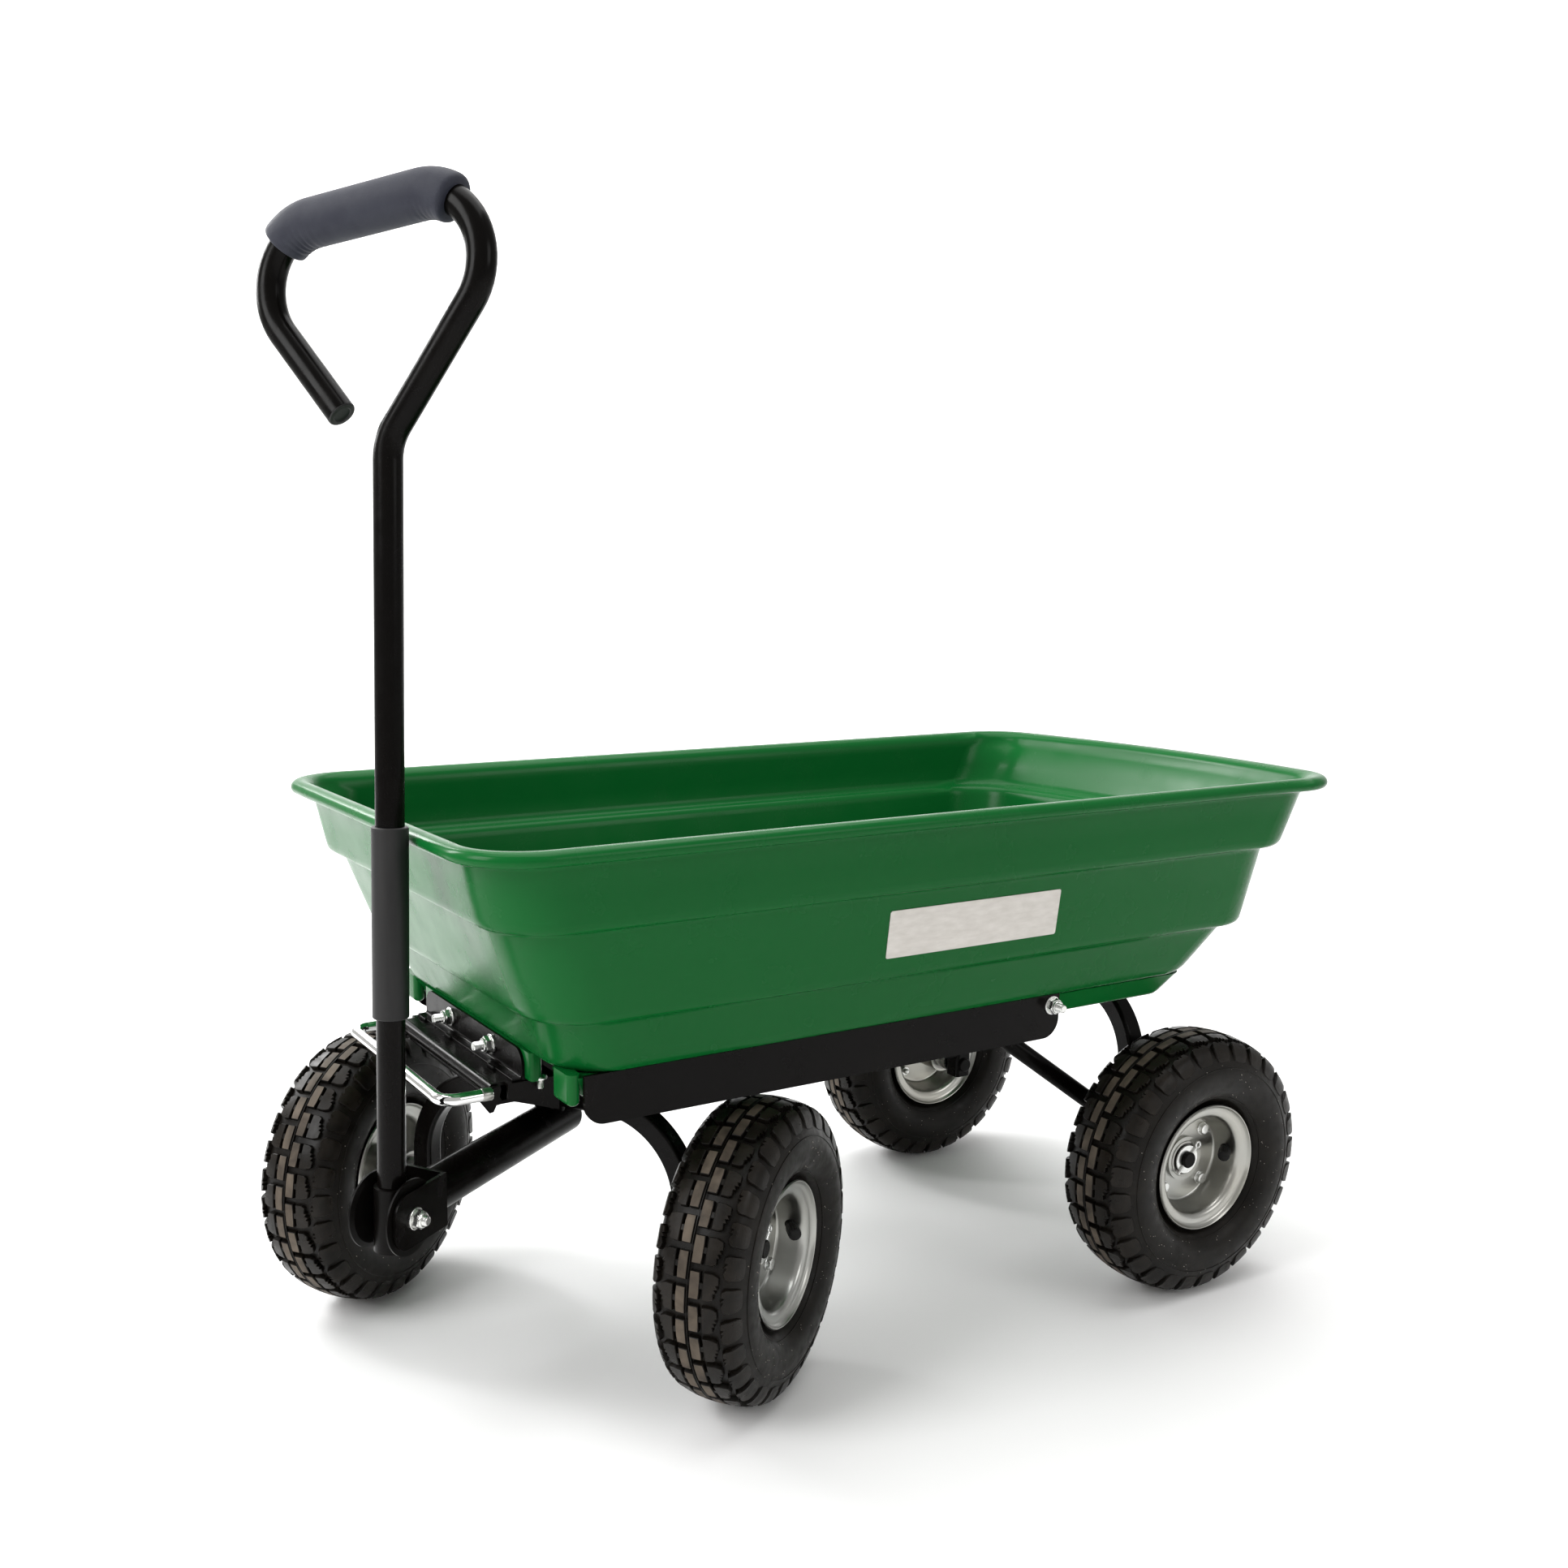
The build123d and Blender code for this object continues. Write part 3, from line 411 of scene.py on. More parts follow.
def thread(shape, radius, start, end, place, slot=0, pitch=1.25, depth=0.55, count=20):
    """A threaded shank with a chamfered tip, its ridge winding round as a real thread's does."""
    steps = max(4, int((end - start) / pitch * 6))
    rows = []
    for i in range(steps + 1):
        z = start + (end - start) * i / steps
        tip = min(1.0, (end - z) / 1.0)
        row = []
        for k in range(count):
            phase = (z / pitch - k / count) % 1.0
            r = radius - depth * abs(2 * phase - 1) - 0.8 * (1 - tip)
            angle = 2 * math.pi * k / count
            row.append(place @ Vector((r * math.cos(angle), r * math.sin(angle), z)))
        rows.append(row)
    shape.skin(rows, slot)


def frames_along(points):
    """A pair of cross directions at each point of a path, carried along without twist."""
    frames = []
    across = None
    for i in range(len(points)):
        ahead = (points[min(i + 1, len(points) - 1)] - points[max(i - 1, 0)]).normalized()
        if across is None:
            across = ahead.orthogonal().normalized()
        across = (across - ahead * across.dot(ahead)).normalized()
        frames.append((across, ahead.cross(across)))
    return frames


def tube(shape, points, radius, slot=0, count=16):
    """A closed tube along a path. radius is a number or a function of (index, angle)."""
    rows = []
    for i, (point, (u, v)) in enumerate(zip(points, frames_along(points))):
        row = []
        for k in range(count):
            angle = 2 * math.pi * k / count
            r = radius(i, angle) if callable(radius) else radius
            row.append(point + (u * math.cos(angle) + v * math.sin(angle)) * r)
        rows.append(row)
    shape.skin(rows, slot)


def weld(shape, start, end, radius=2.4, step=1.6):
    """A weld bead: overlapping ripples along a line, tapering at both ends."""
    start = Vector(start)
    end = Vector(end)
    count = max(6, int((end - start).length / step * 4))
    points = [start.lerp(end, i / count) for i in range(count + 1)]

    def ripple(i, angle):
        taper = min(1.0, i / 4 + 0.35, (count - i) / 4 + 0.35)
        return radius * taper * (0.86 + 0.14 * ((i % 4) / 3))

    tube(shape, points, ripple, count=10)


def aim(origin, direction):
    """A placement whose Z axis points along direction."""
    turn = Vector((0, 0, 1)).rotation_difference(Vector(direction).normalized())
    return Matrix.Translation(Vector(origin)) @ turn.to_matrix().to_4x4()


def upright(origin_m, y_axis):
    """A placement with its Y axis along a level direction and Z up. origin is in metres."""
    y = Vector(y_axis).normalized()
    z = Vector((0, 0, 1))
    x = y.cross(z)
    turn = Matrix((x, y, z)).transposed().to_4x4()
    return Matrix.Translation(Vector(origin_m)) @ turn


# ---- tray -------------------------------------------------------------------------------------
def tray_ring(origin, band, z, inset):
    """A level outline of the tray: straight front and sides, round corners, a bulging rear end."""
    low, high = TRAY_LEVELS[band]
    share = (z - low[0]) / (high[0] - low[0])
    front, rear, half, radius, bulge = [a + (b - a) * share for a, b in zip(low[1:], high[1:])]
    front += inset + origin
    rear += origin - inset
    half -= inset
    radius -= inset
    sweep = (half * half + bulge * bulge) / (2 * bulge)
    centre = rear - sweep
    reach = math.sqrt((sweep - radius) ** 2 - (half - radius) ** 2)
    lean = math.atan2(half - radius, reach)
    corner = Vector((centre + reach, half - radius, z))
    side = []
    for k in range(17):
        side.append(Vector((centre + sweep * math.cos(lean * k / 16), sweep * math.sin(lean * k / 16), z)))
    for k in range(1, 15):
        turn = lean + (math.pi / 2 - lean) * k / 14
        side.append(corner + Vector((math.cos(turn), math.sin(turn), 0)) * radius)
    nose = Vector((front + radius, half - radius, z))
    for k in range(25):
        side.append(Vector((corner.x + (nose.x - corner.x) * k / 24, half, z)))
    for k in range(1, 15):
        turn = math.pi / 2 * (1 + k / 14)
        side.append(nose + Vector((math.cos(turn), math.sin(turn), 0)) * radius)
    for k in range(1, 9):
        side.append(Vector((front, (half - radius) * (1 - k / 8), z)))
    return side + [Vector((p.x, -p.y, z)) for p in side[-2:0:-1]]


def plan_ring(x0, x1, y0, y1, z, radii, steps=6):
    """A level rectangle with its own radius at each corner, from the far rear one round."""
    ring = []
    corners = ((x1, y1, -1, -1), (x0, y1, 1, -1), (x0, y0, 1, 1), (x1, y0, -1, 1))
    for quarter, ((x, y, in_x, in_y), radius) in enumerate(zip(corners, radii)):
        for k in range(steps + 1):
            turn = math.pi / 2 * (quarter + k / steps)
            along = x + (in_x + math.cos(turn)) * radius
            across = y + (in_y + math.sin(turn)) * radius
            ring.append(Vector((along, across, z)))
    return ring


def runner_rings(origin, side, levels, rear_radius, small):
    """Rings of one moulded runner, its outer rear corner rounded like the tray's own."""
    rings = []
    for z, x0, x1, near, far in levels:
        big = min(rear_radius, far - near - small)
        radii = (big, small, small, small) if side > 0 else (small, small, small, big)
        y0, y1 = sorted((side * near, side * far))
        rings.append(plan_ring(origin + x0, origin + x1, y0, y1, z, radii))
    return rings


def flat_fill(shape, outline, holes):
    """A flat face with holes, cut into triangles."""
    loops = [outline] + holes
    points = [p for loop in loops for p in loop]
    base = len(shape.points)
    shape.points.extend(points)
    for triangle in tessellate_polygon(loops):
        shape.faces.append(tuple(base + k for k in triangle))
        shape.slots.append(0)


def soft_block(shape, x0, x1, y0, y1, z0, z1, radius):
    """A moulded block with every lower edge rounded, sunk into the floor above it."""
    rings = []
    for k in range(6):
        turn = math.pi / 2 * k / 5
        inset = radius * (1 - math.sin(turn))
        rings.append(plan_ring(x0 + inset, x1 - inset, y0 + inset, y1 - inset,
                               z0 + radius * (1 - math.cos(turn)), (radius - inset + 1.0,) * 4))
    rings.append(plan_ring(x0, x1, y0, y1, z1, (radius + 1.0,) * 4))
    shape.skin(rings)


def tray():
    """The moulded tray: stepped walls with soft bends, a rolled lip, runners and front feet."""
    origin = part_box("tray")[0].x / MM - TRAY_LEVELS[3][0][1]
    shape = Shape()
    rings = [tray_ring(origin, band, z, inset) for band, z, inset in TRAY_SKIN]
    shape.grid(rings, ring=True)
    under = []
    over = []
    for side in (-1, 1):
        outside = runner_rings(origin, side, RUNNER_OUT, 20.0, 6.0)
        shape.lid(shape.grid(outside, ring=True) + 6 * len(outside[0]), len(outside[0]))
        inside = runner_rings(origin, side, RUNNER_IN, 12.0, 4.0)
        shape.lid(shape.grid(inside, ring=True) + 6 * len(inside[0]), len(inside[0]))
        under.append(outside[0])
        over.append(inside[0])
        x0, x1, near, far, low = TRAY_FOOT
        y0, y1 = sorted((side * near, side * far))
        soft_block(shape, origin + x0, origin + x1, y0, y1, low, TRAY_FEET_TOP, 4.6)
    flat_fill(shape, rings[0], under)
    flat_fill(shape, rings[-1], over)
    x0, x1, y0, y1, low = TRAY_NOSE
    soft_block(shape, origin + x0, origin + x1, y0, y1, low, TRAY_FEET_TOP, 3.0)
    piece = shape.build("tray_look", (GREEN,), "tray", "green_plastic", crease=60.0)
    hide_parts("tray")


# ---- tyres ------------------------------------------------------------------------------------
class Carcass:
    """The tyre's outer skin without its blocks, measured along its section from the middle."""

    def __init__(self):
        self.line = smooth_line(CARCASS, 4)
        self.reach = [0.0]
        for a, b in zip(self.line, self.line[1:]):
            self.reach.append(self.reach[-1] + (b - a).length)

    def at(self, s):
        """(radius, offset, outward radius, outward offset) at a distance from the middle."""
        far = abs(s)
        i = 1
        while i < len(self.line) - 1 and self.reach[i] < far:
            i += 1
        share = (far - self.reach[i - 1]) / (self.reach[i] - self.reach[i - 1])
        spot = self.line[i - 1].lerp(self.line[i], share)
        run = (self.line[i] - self.line[i - 1]).normalized()
        side = 1 if s >= 0 else -1
        return spot.x, side * spot.y, run.y, -side * run.x

    def point(self, turn, s, lift):
        radius, offset, out_r, out_y = self.at(s)
        radius += out_r * lift
        return Vector((radius * math.cos(turn), offset + out_y * lift, radius * math.sin(turn)))


def block_height(s):
    far = abs(s)
    if far < 30:
        return BLOCK_H
    return BLOCK_H - (far - 30) / 16 * 3.7


def tread_block(shape, carcass, rows, side, start, top_slot, height=1.0, columns=3):
    """One tread block with sloping sides, following the carcass. start is along the tread."""
    def edge(level):
        grow, lift = level
        last = len(rows) - 1
        lines = []
        for i, (t, near, far) in enumerate(rows):
            t = t - grow if i == 0 else t + grow if i == last else t
            near = near - grow
            far = far + grow
            turn = (start + t) / TREAD_R
            line = []
            for j in range(columns + 1):
                s = near + (far - near) * j / columns
                up = block_height(s) * height + lift if lift > -BLOCK_H else -0.8
                line.append(carcass.point(turn, side * s, up))
            lines.append(line)
        return lines

    def rim(lines):
        return ([line[0] for line in lines] + lines[-1][1:-1] + [line[-1] for line in reversed(lines)]
                + lines[0][-2:0:-1])

    top = edge((-0.45, 0.0))
    shape.grid(top, top_slot)
    walls = [rim(top), rim(edge((0.0, -0.5))), rim(edge((0.55, -9.0)))]
    shape.grid(walls, 0, ring=True)


def tyre_mesh():
    shape = Shape()
    carcass = Carcass()
    outside = [(p.x, p.y) for p in carcass.line]
    inside = [(p.x, p.y) for p in smooth_line(BEAD_INSIDE, 2)]
    half = outside + inside
    section = half + [(r, -y) for r, y in reversed(half[1:])]
    around = PITCHES * 6
    rows = []
    for k in range(around):
        turn = 2 * math.pi * k / around
        rows.append([Vector((r * math.cos(turn), y, r * math.sin(turn))) for r, y in section])
    shape.grid(rows, 0, ring=True, loop=True)
    for i in range(PITCHES):
        for side, shift in ((1, 0.0), (-1, PITCH / 2)):
            start = i * PITCH + shift
            tread_block(shape, carcass, INNER_BLOCK, side, start, 1)
            tread_block(shape, carcass, OUTER_BLOCK, side, start, 2)
            tread_block(shape, carcass, LUG, side, start + PITCH * 0.42, 2, columns=5)
            tread_block(shape, carcass, BRIDGE, side, start, 0, height=0.8, columns=1)
    for s, radius in ((0.0, 0.5), (51.5, 0.45), (-51.5, 0.45), (84, 0.5), (-84, 0.5)):
        lift = BLOCK_H - 0.7 if s == 0 else 0.1
        ridge = [carcass.point(2 * math.pi * k / around, s, lift) for k in range(around)]
        ring_tube(shape, ridge, radius)
    draw = random.Random(11)
    for side in (-1, 1):
        for k in range(110):
            turn = draw.uniform(0, 2 * math.pi)
            spot = side * draw.uniform(48, 82)
            nib(shape, carcass, turn, spot, draw.uniform(0.3, 0.62))
    return shape


def ring_tube(shape, points, radius, slot=0, count=6):
    """A thin ring lying on the tyre."""
    rows = []
    for i, point in enumerate(points):
        ahead = (points[(i + 1) % len(points)] - points[i - 1]).normalized()
        u = Vector((0, 1, 0))
        v = ahead.cross(u).normalized()
        rows.append([point + (u * math.cos(a) + v * math.sin(a)) * radius
                     for a in (2 * math.pi * k / count for k in range(count))])
    shape.grid(rows, slot, ring=True, loop=True)


def nib(shape, carcass, turn, s, size):
    """A stub of a moulding vent on the side wall."""
    foot = carcass.point(turn, s, -0.2)
    tip = carcass.point(turn, s, 0.2 + size)
    place = aim(foot, tip - foot)
    lathe(shape, ((size, 0.0), (size * 0.9, size * 0.5), (size * 0.4, size + 0.3)), place, 3, count=6)


# ---- wheels -----------------------------------------------------------------------------------
def rim_mesh(side):
    """One pressed half of the rim: a smooth bent sheet with a rolled lip. side is -1 outboard."""
    line = smooth_line(RIM_LINE, 5)
    offset = []
    for i, p in enumerate(line):
        run = line[min(i + 1, len(line) - 1)] - line[max(i - 1, 0)]
        run.normalize()
        offset.append((p.x - run.y * RIM_SHEET, p.y + run.x * RIM_SHEET))
    lip = line[-1]
    tip = offset[-1]
    middle = ((lip.x + tip[0]) / 2, (lip.y + tip[1]) / 2 + 0.7)
    section = [(p.x, p.y) for p in line] + [middle] + offset[::-1]
    shape = Shape()
    count = 120
    rows = []
    for k in range(count):
        turn = 2 * math.pi * k / count
        rows.append([Vector((r * math.cos(turn), side * (y + 0.02), r * math.sin(turn)))
                     for r, y in section])
    shape.grid(rows, 0, ring=True, loop=True)
    return shape


def valve_mesh():
    """The inner tube with its valve: a rubber stem, a grommet at the rim and a ribbed cap."""
    shape = Shape()
    rows = []
    for k in range(48):
        turn = 2 * math.pi * k / 48
        rows.append([Vector(((89 + 26 * math.cos(a)) * math.cos(turn), 26 * math.sin(a),
                             (89 + 26 * math.cos(a)) * math.sin(turn)))
                     for a in (2 * math.pi * j / 20 for j in range(20))])
    shape.grid(rows, 0, ring=True, loop=True)
    root = Vector(VALVE_ROOT)
    tip = Vector(VALVE_TIP)
    length = (tip - root).length
    stem = smooth_line(((4.2, 0), (4.4, 11), (6.2, 14), (7.6, 16.4), (7.2, 18.6), (5.6, 20.6), (4.9, 24),
                        (4.8, 29.6)), 4)
    cap = ((4.8, 29.4), (5.6, 29.8), (5.9, 30.5), (5.9, length - 0.6), (5.5, length + 1.4),
           (3.8, length + 2.2))
    place = aim(root, tip - root)
    lathe(shape, [(p.x, p.y) for p in stem], place, 0, 32)
    ribs = 20
    rows = []
    for radius, height in cap:
        row = []
        for k in range(ribs * 2):
            angle = math.pi * k / ribs
            r = radius - (0.35 if k % 2 and radius > 5 else 0.0)
            row.append(place @ Vector((r * math.cos(angle), r * math.sin(angle), height)))
        rows.append(row)
    shape.skin(rows, 0)
    return shape


def rim_bolt_mesh():
    """Four bolts: chamfered heads with pressed washer faces outboard, nuts on threads inboard."""
    shape = Shape()
    for i in range(4):
        angle = math.radians(45 + 90 * i)
        x = RIM_BOLT_R * math.cos(angle)
        z = RIM_BOLT_R * math.sin(angle)
        out = aim((x, -RIM_SHEET, z), (0, -1, 0)) @ Matrix.Rotation(0.4 + i, 4, "Z")
        lathe(shape, ((6.6, 0.0), (6.6, 0.7), (6.1, 1.1), (3.0, 1.1)), out)
        prism(shape, 10, ((4.9, 0.9), (5.8, 1.3), (5.8, 3.8), (5.1, 4.6), (4.2, 4.9), (1.0, 4.7)), out)
        back = aim((x, RIM_SHEET, z), (0, 1, 0)) @ Matrix.Rotation(0.9 * i, 4, "Z")
        prism(shape, 10, ((5.0, 0.0), (5.8, 0.5), (5.8, 4.2), (5.0, 5.0), (3.0, 5.0)), back)
        thread(shape, 3.0, 1.0, 9.0, back, pitch=1.0, depth=0.45, count=14)
    return shape


def wheels():
    tyre = tyre_mesh()
    outer = rim_mesh(-1)
    inner = rim_mesh(1)
    valve = valve_mesh()
    bolts = rim_bolt_mesh()
    parts = (("tyre", tyre, (RUBBER, RUBBER_TOP, RUBBER_SIDE, FLECK), "tyre", "tyre_", 32.0),
             ("rim_outer", outer, (ZINC_RIM,), "zinc_rim", "rim_outer_", 50.0),
             ("rim_inner", inner, (ZINC_RIM,), "zinc_rim", "rim_inner_", 50.0),
             ("valve", valve, (VALVE,), "valve_rubber", "inner_tube_", 40.0),
             ("rim_bolts", bolts, (ZINC_BOLT,), "zinc_fastener", "rim_bolts_", 28.0))
    for corner in ("rear_left", "rear_right", "front_left", "front_right"):
        body = "wheel_" + corner
        joint = [j for j in JOINTS.values() if j["child"] == body][0]
        inboard = Vector(joint["axis"]) * (1 if "left" in corner else -1)
        place = upright(joint["pos_m"], inboard)
        spin = Matrix.Rotation(math.radians(WHEEL_TURNS[corner]), 4, "Y")
        for kind, shape, materials, slot_name, prefix, crease in parts:
            name = prefix + corner + "_look"
            turned = place @ spin if kind == "tyre" else place
            piece = shape.build(name, materials, body, slot_name, turned, crease)
            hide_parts(prefix + corner)


# ---- handle -----------------------------------------------------------------------------------
def arc_points(corner, before, after, radius):
    """Start, end and centre of the arc that rounds a corner of the handle's line."""
    corner, before, after = Vector(corner), Vector(before), Vector(after)
    u = (before - corner).normalized()
    v = (after - corner).normalized()
    half = math.acos(u.dot(v)) / 2
    reach = radius / math.tan(half)
    centre = corner + (u + v).normalized() * radius / math.sin(half)
    return corner + u * reach, corner + v * reach, centre


def handle_place():
    joint = JOINTS["handle_tilt"]
    return upright(joint["pos_m"], -Vector(joint["axis"])) @ Matrix.Rotation(HANDLE_LEAN, 4, "Y")


def grip_line():
    """Points and the bends' centres along the foam grip, in the handle's own plane."""
    p = HANDLE_PATH
    _, left_end, left = arc_points(p[2], p[1], p[3], HANDLE_BENDS[1])
    right_start, _, right = arc_points(p[3], p[2], p[4], HANDLE_BENDS[2])

    def on_arc(centre, radius, degrees):
        angle = math.radians(degrees)
        return centre + Vector((math.cos(angle), math.sin(angle))) * radius

    def direction(centre, point):
        return math.degrees(math.atan2(point.y - centre.y, point.x - centre.x))

    line = []
    stop = direction(left, left_end)
    for i in range(12):
        line.append(on_arc(left, HANDLE_BENDS[1], 122 + (stop - 122) * i / 12))
    for i in range(60):
        line.append(left_end.lerp(right_start, i / 60))
    begin = direction(right, right_start)
    for i in range(19):
        line.append(on_arc(right, HANDLE_BENDS[2], begin + (44 - begin) * i / 18))
    return line


def foam_grip():
    """Foam tube: rounded ends, a soft belly, and small creases on the inside of both bends."""
    flat = grip_line()
    points = [Vector((0, p.x, p.y)) for p in flat]
    reach = [0.0]
    for a, b in zip(points, points[1:]):
        reach.append(reach[-1] + (b - a).length)
    total = reach[-1]
    inward = Vector((0, 0, -1))
    rows = []
    count = 40
    for i, (point, (u, v)) in enumerate(zip(points, frames_along(points))):
        from_end = min(reach[i], total - reach[i])
        edge = 1 - min(1.0, from_end / 3.2)
        near_bend = math.exp(-((reach[i] - 18) / 13) ** 2) + math.exp(-((total - reach[i] - 20) / 16) ** 2)
        row = []
        for k in range(count):
            angle = 2 * math.pi * k / count
            out = u * math.cos(angle) + v * math.sin(angle)
            low = max(0.0, out.dot(inward))
            crease = 0.75 * near_bend * low ** 2 * math.sin(reach[i] * 1.05)
            belly = 0.25 * math.sin(math.pi * reach[i] / total) * low
            r = GRIP_R + belly + crease - 2.6 * edge ** 2.4
            row.append(point + out * r)
        rows.append(row)
    base = []
    for i, (u, v) in ((0, frames_along(points)[0]), (len(points) - 1, frames_along(points)[-1])):
        base.append([points[i] + (u * math.cos(a) + v * math.sin(a)) * (HANDLE_TUBE_R + 0.1)
                     for a in (2 * math.pi * k / count for k in range(count))])
    shape = Shape()
    shape.grid([base[0]] + rows + [base[1]], 0, ring=True)
    piece = shape.build("foam_grip_look", (FOAM,), "handle", "foam", handle_place(), 60.0)
    smooth = piece.modifiers.new("smooth", "SUBSURF")
    smooth.levels = 1
    smooth.render_levels = 1
    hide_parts("foam_grip")


def handle_plug():
    """Plastic plug in the open end of the loop."""
    end = Vector((0, *HANDLE_PATH[-1]))
    before = Vector((0, *HANDLE_PATH[-2]))
    place = aim(end, end - before)
    shape = Shape()
    lathe(shape, ((9.3, -14), (9.3, -0.4), (10.7, -0.3), (10.8, 0.5), (10.2, 1.2), (7.4, 1.4), (6.6, 0.7),
                  (1.0, 0.6)), place)
    shape.build("handle_end_plug", (SLEEVE,), "handle", "sleeve_plastic", handle_place(), 30.0)


# ---- fasteners --------------------------------------------------------------------------------
def lock_nut(shape, place, flats=13.0):
    """Hexagon nut with a rounded locking collar and its washer."""
    corner = flats / 2 / math.cos(math.pi / 6)
    lathe(shape, ((8.8, 0.0), (8.8, 1.4), (8.4, 1.7), (5.0, 1.7)), place)
    prism(shape, flats, ((corner - 0.8, 1.7), (corner, 2.2), (corner, 6.4), (corner - 0.7, 7.0),
                         (5.6, 7.1)), place)
    lathe(shape, ((6.1, 6.9), (6.2, 7.6), (5.9, 8.5), (5.2, 8.9), (4.0, 8.8)), place)


def front_bolts():
    low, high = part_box("front_bolts")
    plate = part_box("front_bracket")[0].x / MM
    shape = Shape()
    for side in (-1, 1):
        y = side * (high.y / MM - 8.8)
        z = (low.z + high.z) / 2 / MM
        out = aim((plate, y, z), (-1, 0, 0)) @ Matrix.Rotation(0.5 + side * 0.3, 4, "Z")
        lock_nut(shape, out)
        thread(shape, 4.0, -1.0, plate - low.x / MM, out)
        inside = aim((high.x / MM - 3.4, y, z), (1, 0, 0))
        lathe(shape, ((4.0, -10), (4.0, 0.0), (7.5, 0.1), (7.2, 1.4), (5.6, 2.8), (3.0, 3.3)), inside)
    piece = shape.build("front_bolts_look", (ZINC_BOLT,), "tray", "zinc_fastener", crease=28.0)
    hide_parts("front_bolts")


def side_bolts():
    low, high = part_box("side_bolts")
    x = (low.x + high.x) / 2 / MM
    z = (low.z + high.z) / 2 / MM
    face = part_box("side_plate_right")[1].y / MM
    shape = Shape()
    for side in (-1, 1):
        out = aim((x, side * face, z), (0, side, 0)) @ Matrix.Rotation(0.2, 4, "Z")
        lock_nut(shape, out)
        thread(shape, 4.0, -2.0, high.y / MM - face, out)
        inside = aim((x, side * 171.8, z), (0, -side, 0))
        lathe(shape, ((4.0, -14), (4.0, 0.0), (7.0, 0.1), (6.8, 1.3), (5.0, 2.7), (2.0, 3.2)), inside)
    piece = shape.build("side_bolts_look", (ZINC_BOLT,), "tray", "zinc_fastener", crease=28.0)
    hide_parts("side_bolts")


def pivot_bolt():
    joint = JOINTS["handle_tilt"]
    place = upright(joint["pos_m"], -Vector(joint["axis"]))
    shape = Shape()
    near = aim((0, -22.1, 0), (0, -1, 0)) @ Matrix.Rotation(0.35, 4, "Z")
    lock_nut(shape, near)
    thread(shape, 4.0, -3.0, 12.6, near)
    far = aim((0, 22.1, 0), (0, 1, 0))
    lathe(shape, ((4.0, -48), (4.0, 0.0), (8.4, 0.05), (8.4, 0.6), (4.0, 0.7)), far)
    prism(shape, 13, ((6.6, 0.6), (7.5, 1.0), (7.5, 4.4), (6.6, 5.3), (3.0, 5.4)), far)
    piece = shape.build("pivot_bolt_look", (ZINC_BOLT,), "steering", "zinc_fastener", place, 28.0)
    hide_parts("pivot_bolt")


def latch_details():
    """Bracket foot with its welds, the small pan-head screw, and the collars on the bail's legs."""
    plate_low, plate_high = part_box("front_bracket")
    top_z = plate_low.z / MM
    x = plate_low.x / MM
    half = plate_high.y / MM
    shape = Shape()
    lower = [(x - 8.6, 0.0), (x + 1.0, 0.0), (x + 1.0, 4.4)]
    upper = [(x - 0.02, 4.4), (x - 0.5, 3.2), (x - 1.7, 2.4), (x - 3.2, 2.2), (x - 8.2, 2.2), (x - 8.6, 1.8)]
    rows = []
    for y in (-half + 1.0, -half + 1.6, half - 1.6, half - 1.0):
        rows.append([Vector((px, y, top_z + pz)) for px, pz in lower + upper])
    shape.skin(rows)
    shape.build("bracket_foot", (BLACK,), "tray", "black_paint", crease=40.0)
    beads = Shape()
    for y in (92, 30, -66):
        weld(beads, (x - 8.8, y - 7, top_z + 1.0), (x - 8.8, y + 7, top_z + 1.0), 1.9, 1.3)
    beads.build("bracket_welds", (BLACK,), "tray", "black_paint", crease=60.0)

    screw = Shape()
    place = aim((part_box("latch_channel")[1].x / MM - 18.5, -113.4, 282.5), (0, 0, 1))
    thread(screw, 3.0, 0.0, 8.2, place, pitch=1.0, depth=0.4, count=16)
    lathe(screw, ((3.0, 8.0), (5.6, 8.1), (5.7, 9.2), (4.9, 10.4), (3.0, 11.0), (1.0, 11.1)), place)
    screw.build("channel_screw", (ZINC_BOLT,), "tray", "zinc_fastener", crease=28.0)

    low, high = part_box("latch_bail")
    collars = Shape()
    z = (low.z + high.z) / 2 / MM
    for side in (-1, 1):
        y = side * (high.y / MM - 5.0)
        end = aim((high.x / MM - 8.5, y, z), (1, 0, 0))
        lathe(collars, ((4.9, -0.5), (5.25, 0.0), (5.35, 0.5), (5.35, 7.6), (5.1, 8.3), (4.0, 8.5)), end)
    collars.build("bail_collars", (ZINC_RIM,), "latch", "bail_chrome", crease=30.0)


def ring_weld(shape, place, radius, bead=2.2, count=64):
    """A weld bead all the way round a tube."""
    rows = []
    for i in range(count):
        turn = 2 * math.pi * i / count
        out = Vector((math.cos(turn), math.sin(turn), 0))
        size = bead * (0.86 + 0.14 * ((i % 4) / 3))
        rows.append([place @ (out * (radius + size * 0.6 * math.cos(a)) + Vector((0, 0, size * math.sin(a))))
                     for a in (2 * math.pi * k / 8 for k in range(8))])
    shape.grid(rows, 0, ring=True, loop=True)


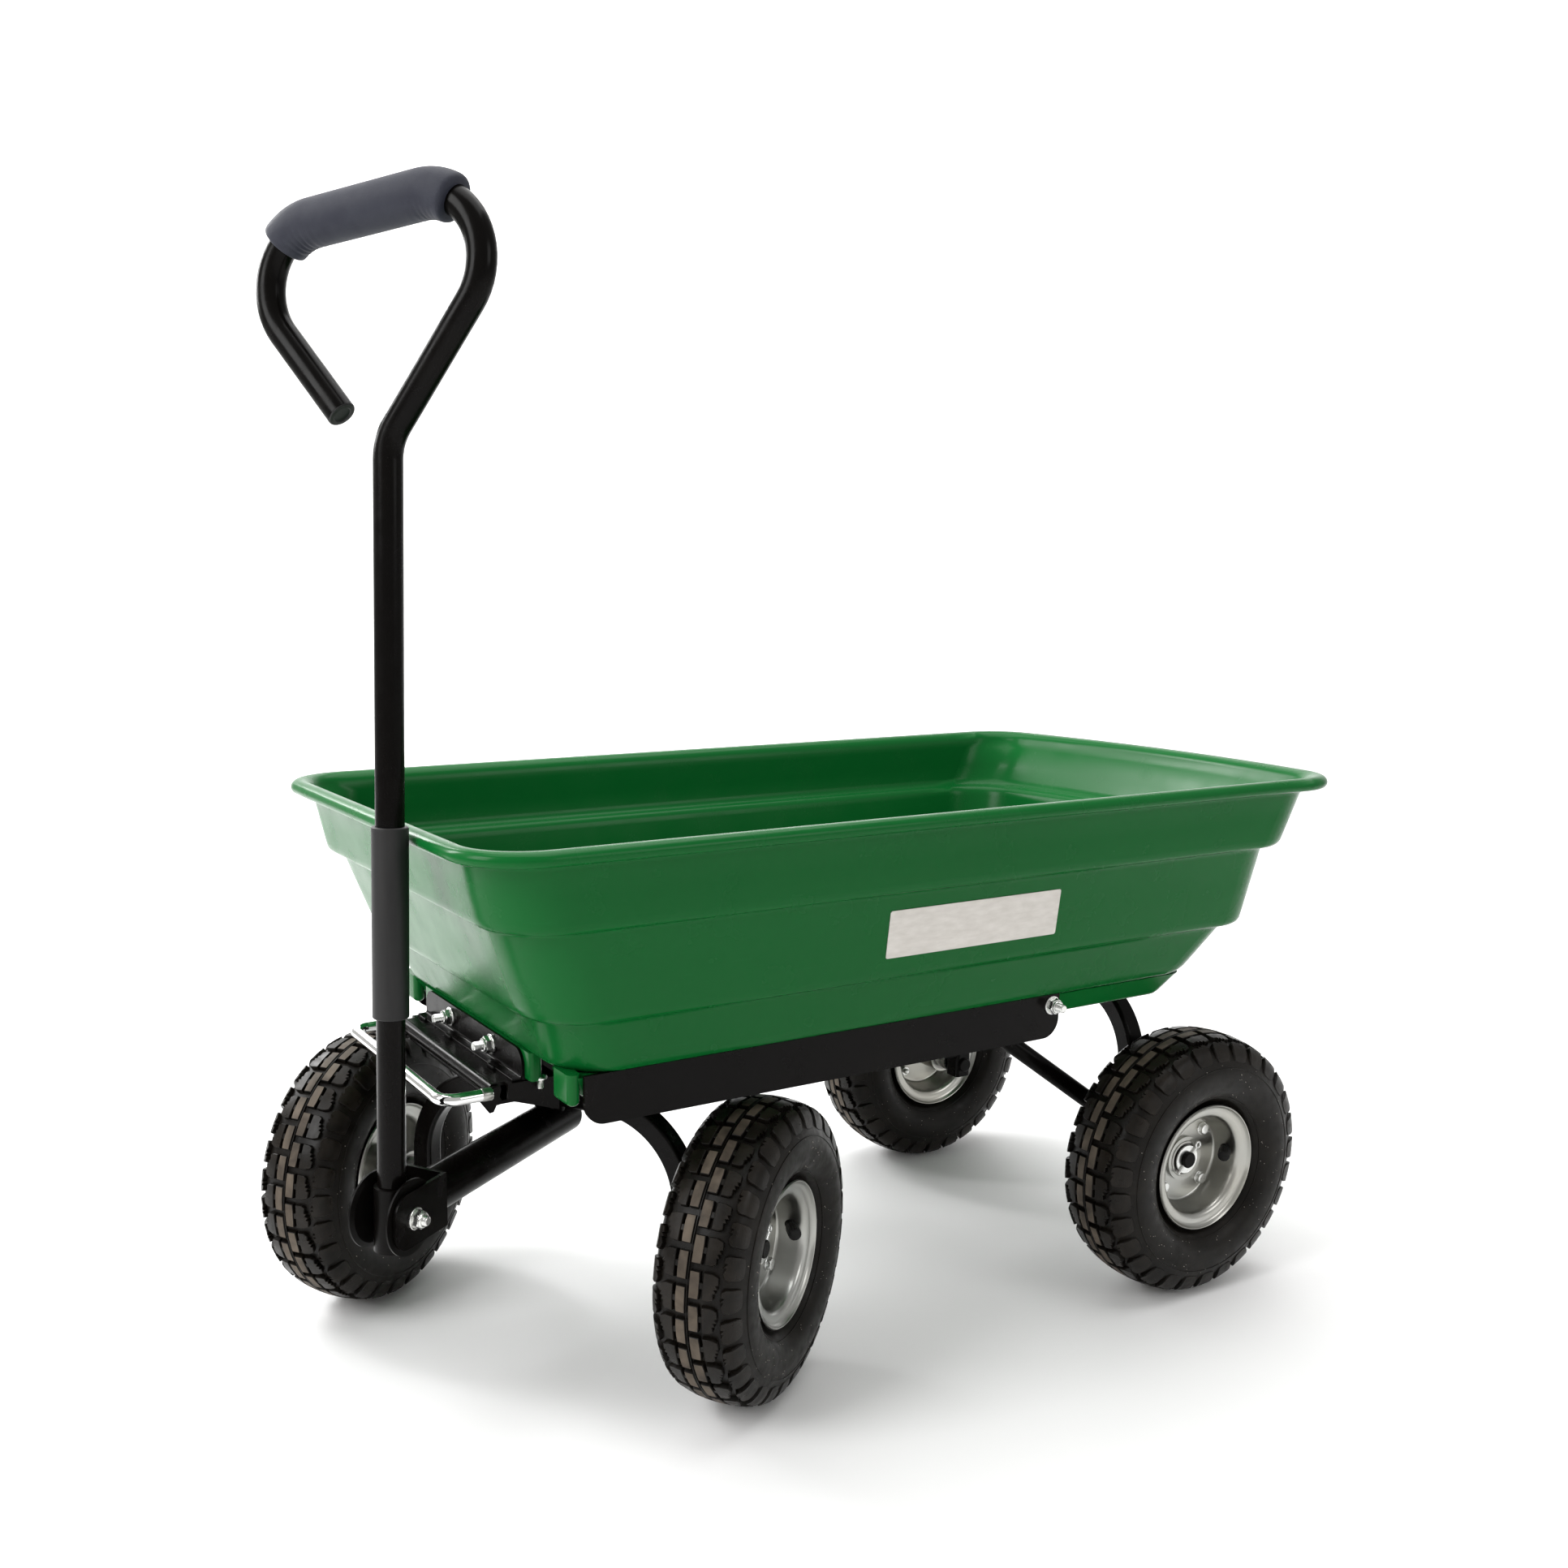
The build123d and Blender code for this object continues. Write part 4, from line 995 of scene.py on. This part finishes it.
def chassis_welds():
    """Beads where the arches, braces and beam meet."""
    beam_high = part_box("chassis_beam")[1]
    arch_low, arch_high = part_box("rear_arch")
    half = beam_high.y / MM
    shape = Shape()
    for x in (arch_low.x / MM, arch_high.x / MM):
        weld(shape, (x, -half + 2, arch_high.z / MM), (x, half - 2, arch_high.z / MM), 2.2)
    for side, name in ((-1, "brace_left"), (1, "brace_right")):
        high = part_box(name)[1]
        foot = Vector((high.x / MM + 0.4, side * 131, 143))
        tube_axis = Vector((JOINTS["tray_tip"]["pos_m"][0] / MM - 197.0, side * 59.0, 291.0)) - foot
        place = aim(foot, tube_axis)
        ring_weld(shape, place @ Matrix.Translation((0, 0, 6.0)), 9.0)
    shape.build("chassis_welds", (BLACK,), "chassis", "black_paint", crease=60.0)


def steering_welds():
    joint = JOINTS["handle_tilt"]
    place = upright(joint["pos_m"], -Vector(joint["axis"]))
    shape = Shape()
    ring_weld(shape, aim((42.4, 0, -1.1), (1, 0, 0)), 18.2)
    for x in (221.4, 242.6):
        weld(shape, (x, -7.5, 16.4), (x, 7.5, 16.4), 2.0)
    shape.build("steering_welds", (BLACK,), "steering", "black_paint", place, 60.0)


# ---- CAD nodes that stay ----------------------------------------------------------------------
def paint_nodes():
    finishes = {
        "label": (LABEL, ("label_plate",)),
        "sleeve": (SLEEVE, ("bumper_sleeve",)),
        "chrome": (CHROME, ("latch_bail",)),
        "satin": (BLACK_SATIN, ("rear_axle", "front_axle", "pivot_discs", "handle_socket", "latch_striker",
                                "latch_shaft", "kingpin")),
        "bolts": (ZINC_BOLT, ("rear_axle_fixings", "front_axle_fixings", "hinge_rod")),
        "hubs": (ZINC_RIM, tuple("hub_" + c for c in WHEEL_TURNS)),
        "bearings": (BEARING, tuple("bearings_" + c for c in WHEEL_TURNS)),
    }
    chosen = {}
    for material, names in finishes.values():
        for name in names:
            chosen[name] = material
    for name, node in frame["nodes"].items():
        material = chosen.get(name, BLACK)
        for part in [node] + list(node.children_recursive):
            if part.type != "MESH":
                continue
            if not part.material_slots:
                part.data.materials.append(material)
            for place in part.material_slots:
                place.material = material


# ---- studio -----------------------------------------------------------------------------------
def studio():
    """A pale floor that turns up into a backdrop, even light from all round, and the softboxes."""
    line = [(-7.0, 0.0), (3.0, 0.0)]
    for k in range(1, 17):
        angle = math.pi / 2 * k / 16
        line.append((3.0 + 2.5 * math.sin(angle), 2.5 - 2.5 * math.cos(angle)))
    line.append((5.5, 7.0))
    points = []
    for far, up in line:
        points.append((-9.0, far, up))
        points.append((9.0, far, up))
    faces = [(2 * i, 2 * i + 1, 2 * i + 3, 2 * i + 2) for i in range(len(line) - 1)]
    mesh = bpy.data.meshes.new("floor_sweep")
    mesh.from_pydata(points, [], faces)
    mesh.materials.append(FLOOR)
    mesh.polygons.foreach_set("use_smooth", [True] * len(faces))
    sweep = bpy.data.objects.new("floor_sweep", mesh)
    bpy.context.collection.objects.link(sweep)
    sweep.rotation_euler = (0, 0, math.radians(-29.4))

    world = bpy.data.worlds.new("studio")
    bpy.context.scene.world = world
    world.use_nodes = True
    background = world.node_tree.nodes["Background"]
    background.inputs["Color"].default_value = (1.0, 0.99, 0.97, 1.0)
    background.inputs["Strength"].default_value = 0.5
    for settings in SOFTBOXES:
        softbox(*settings)
    bpy.context.scene.view_settings.view_transform = "Standard"


def softbox(name, spot, target, width, height, watts):
    light = bpy.data.lights.new(name, "AREA")
    light.shape = "RECTANGLE"
    light.size = width
    light.size_y = height
    light.energy = watts
    lamp = bpy.data.objects.new(name, light)
    bpy.context.collection.objects.link(lamp)
    lamp.location = spot
    lamp.rotation_euler = (Vector(target) - Vector(spot)).to_track_quat("-Z", "Y").to_euler()


def camera():
    data = bpy.data.cameras.new("camera")
    data.sensor_width = 36.0
    data.lens = 35.202
    data.shift_x = 0.0777
    data.shift_y = 0.03848
    eye = bpy.data.objects.new("camera", data)
    bpy.context.collection.objects.link(eye)
    place = Matrix.Translation(CAMERA_SPOT)
    for degrees, axis in CAMERA_TURNS:
        place = place @ Matrix.Rotation(math.radians(degrees), 4, axis)
    eye.matrix_world = place
    bpy.context.scene.camera = eye


camera()
studio()
paint_nodes()
tray()
wheels()
foam_grip()
handle_plug()
front_bolts()
side_bolts()
pivot_bolt()
latch_details()
chassis_welds()
steering_welds()


def corners(box):
    return [list(map(float, corner)) for corner in box]
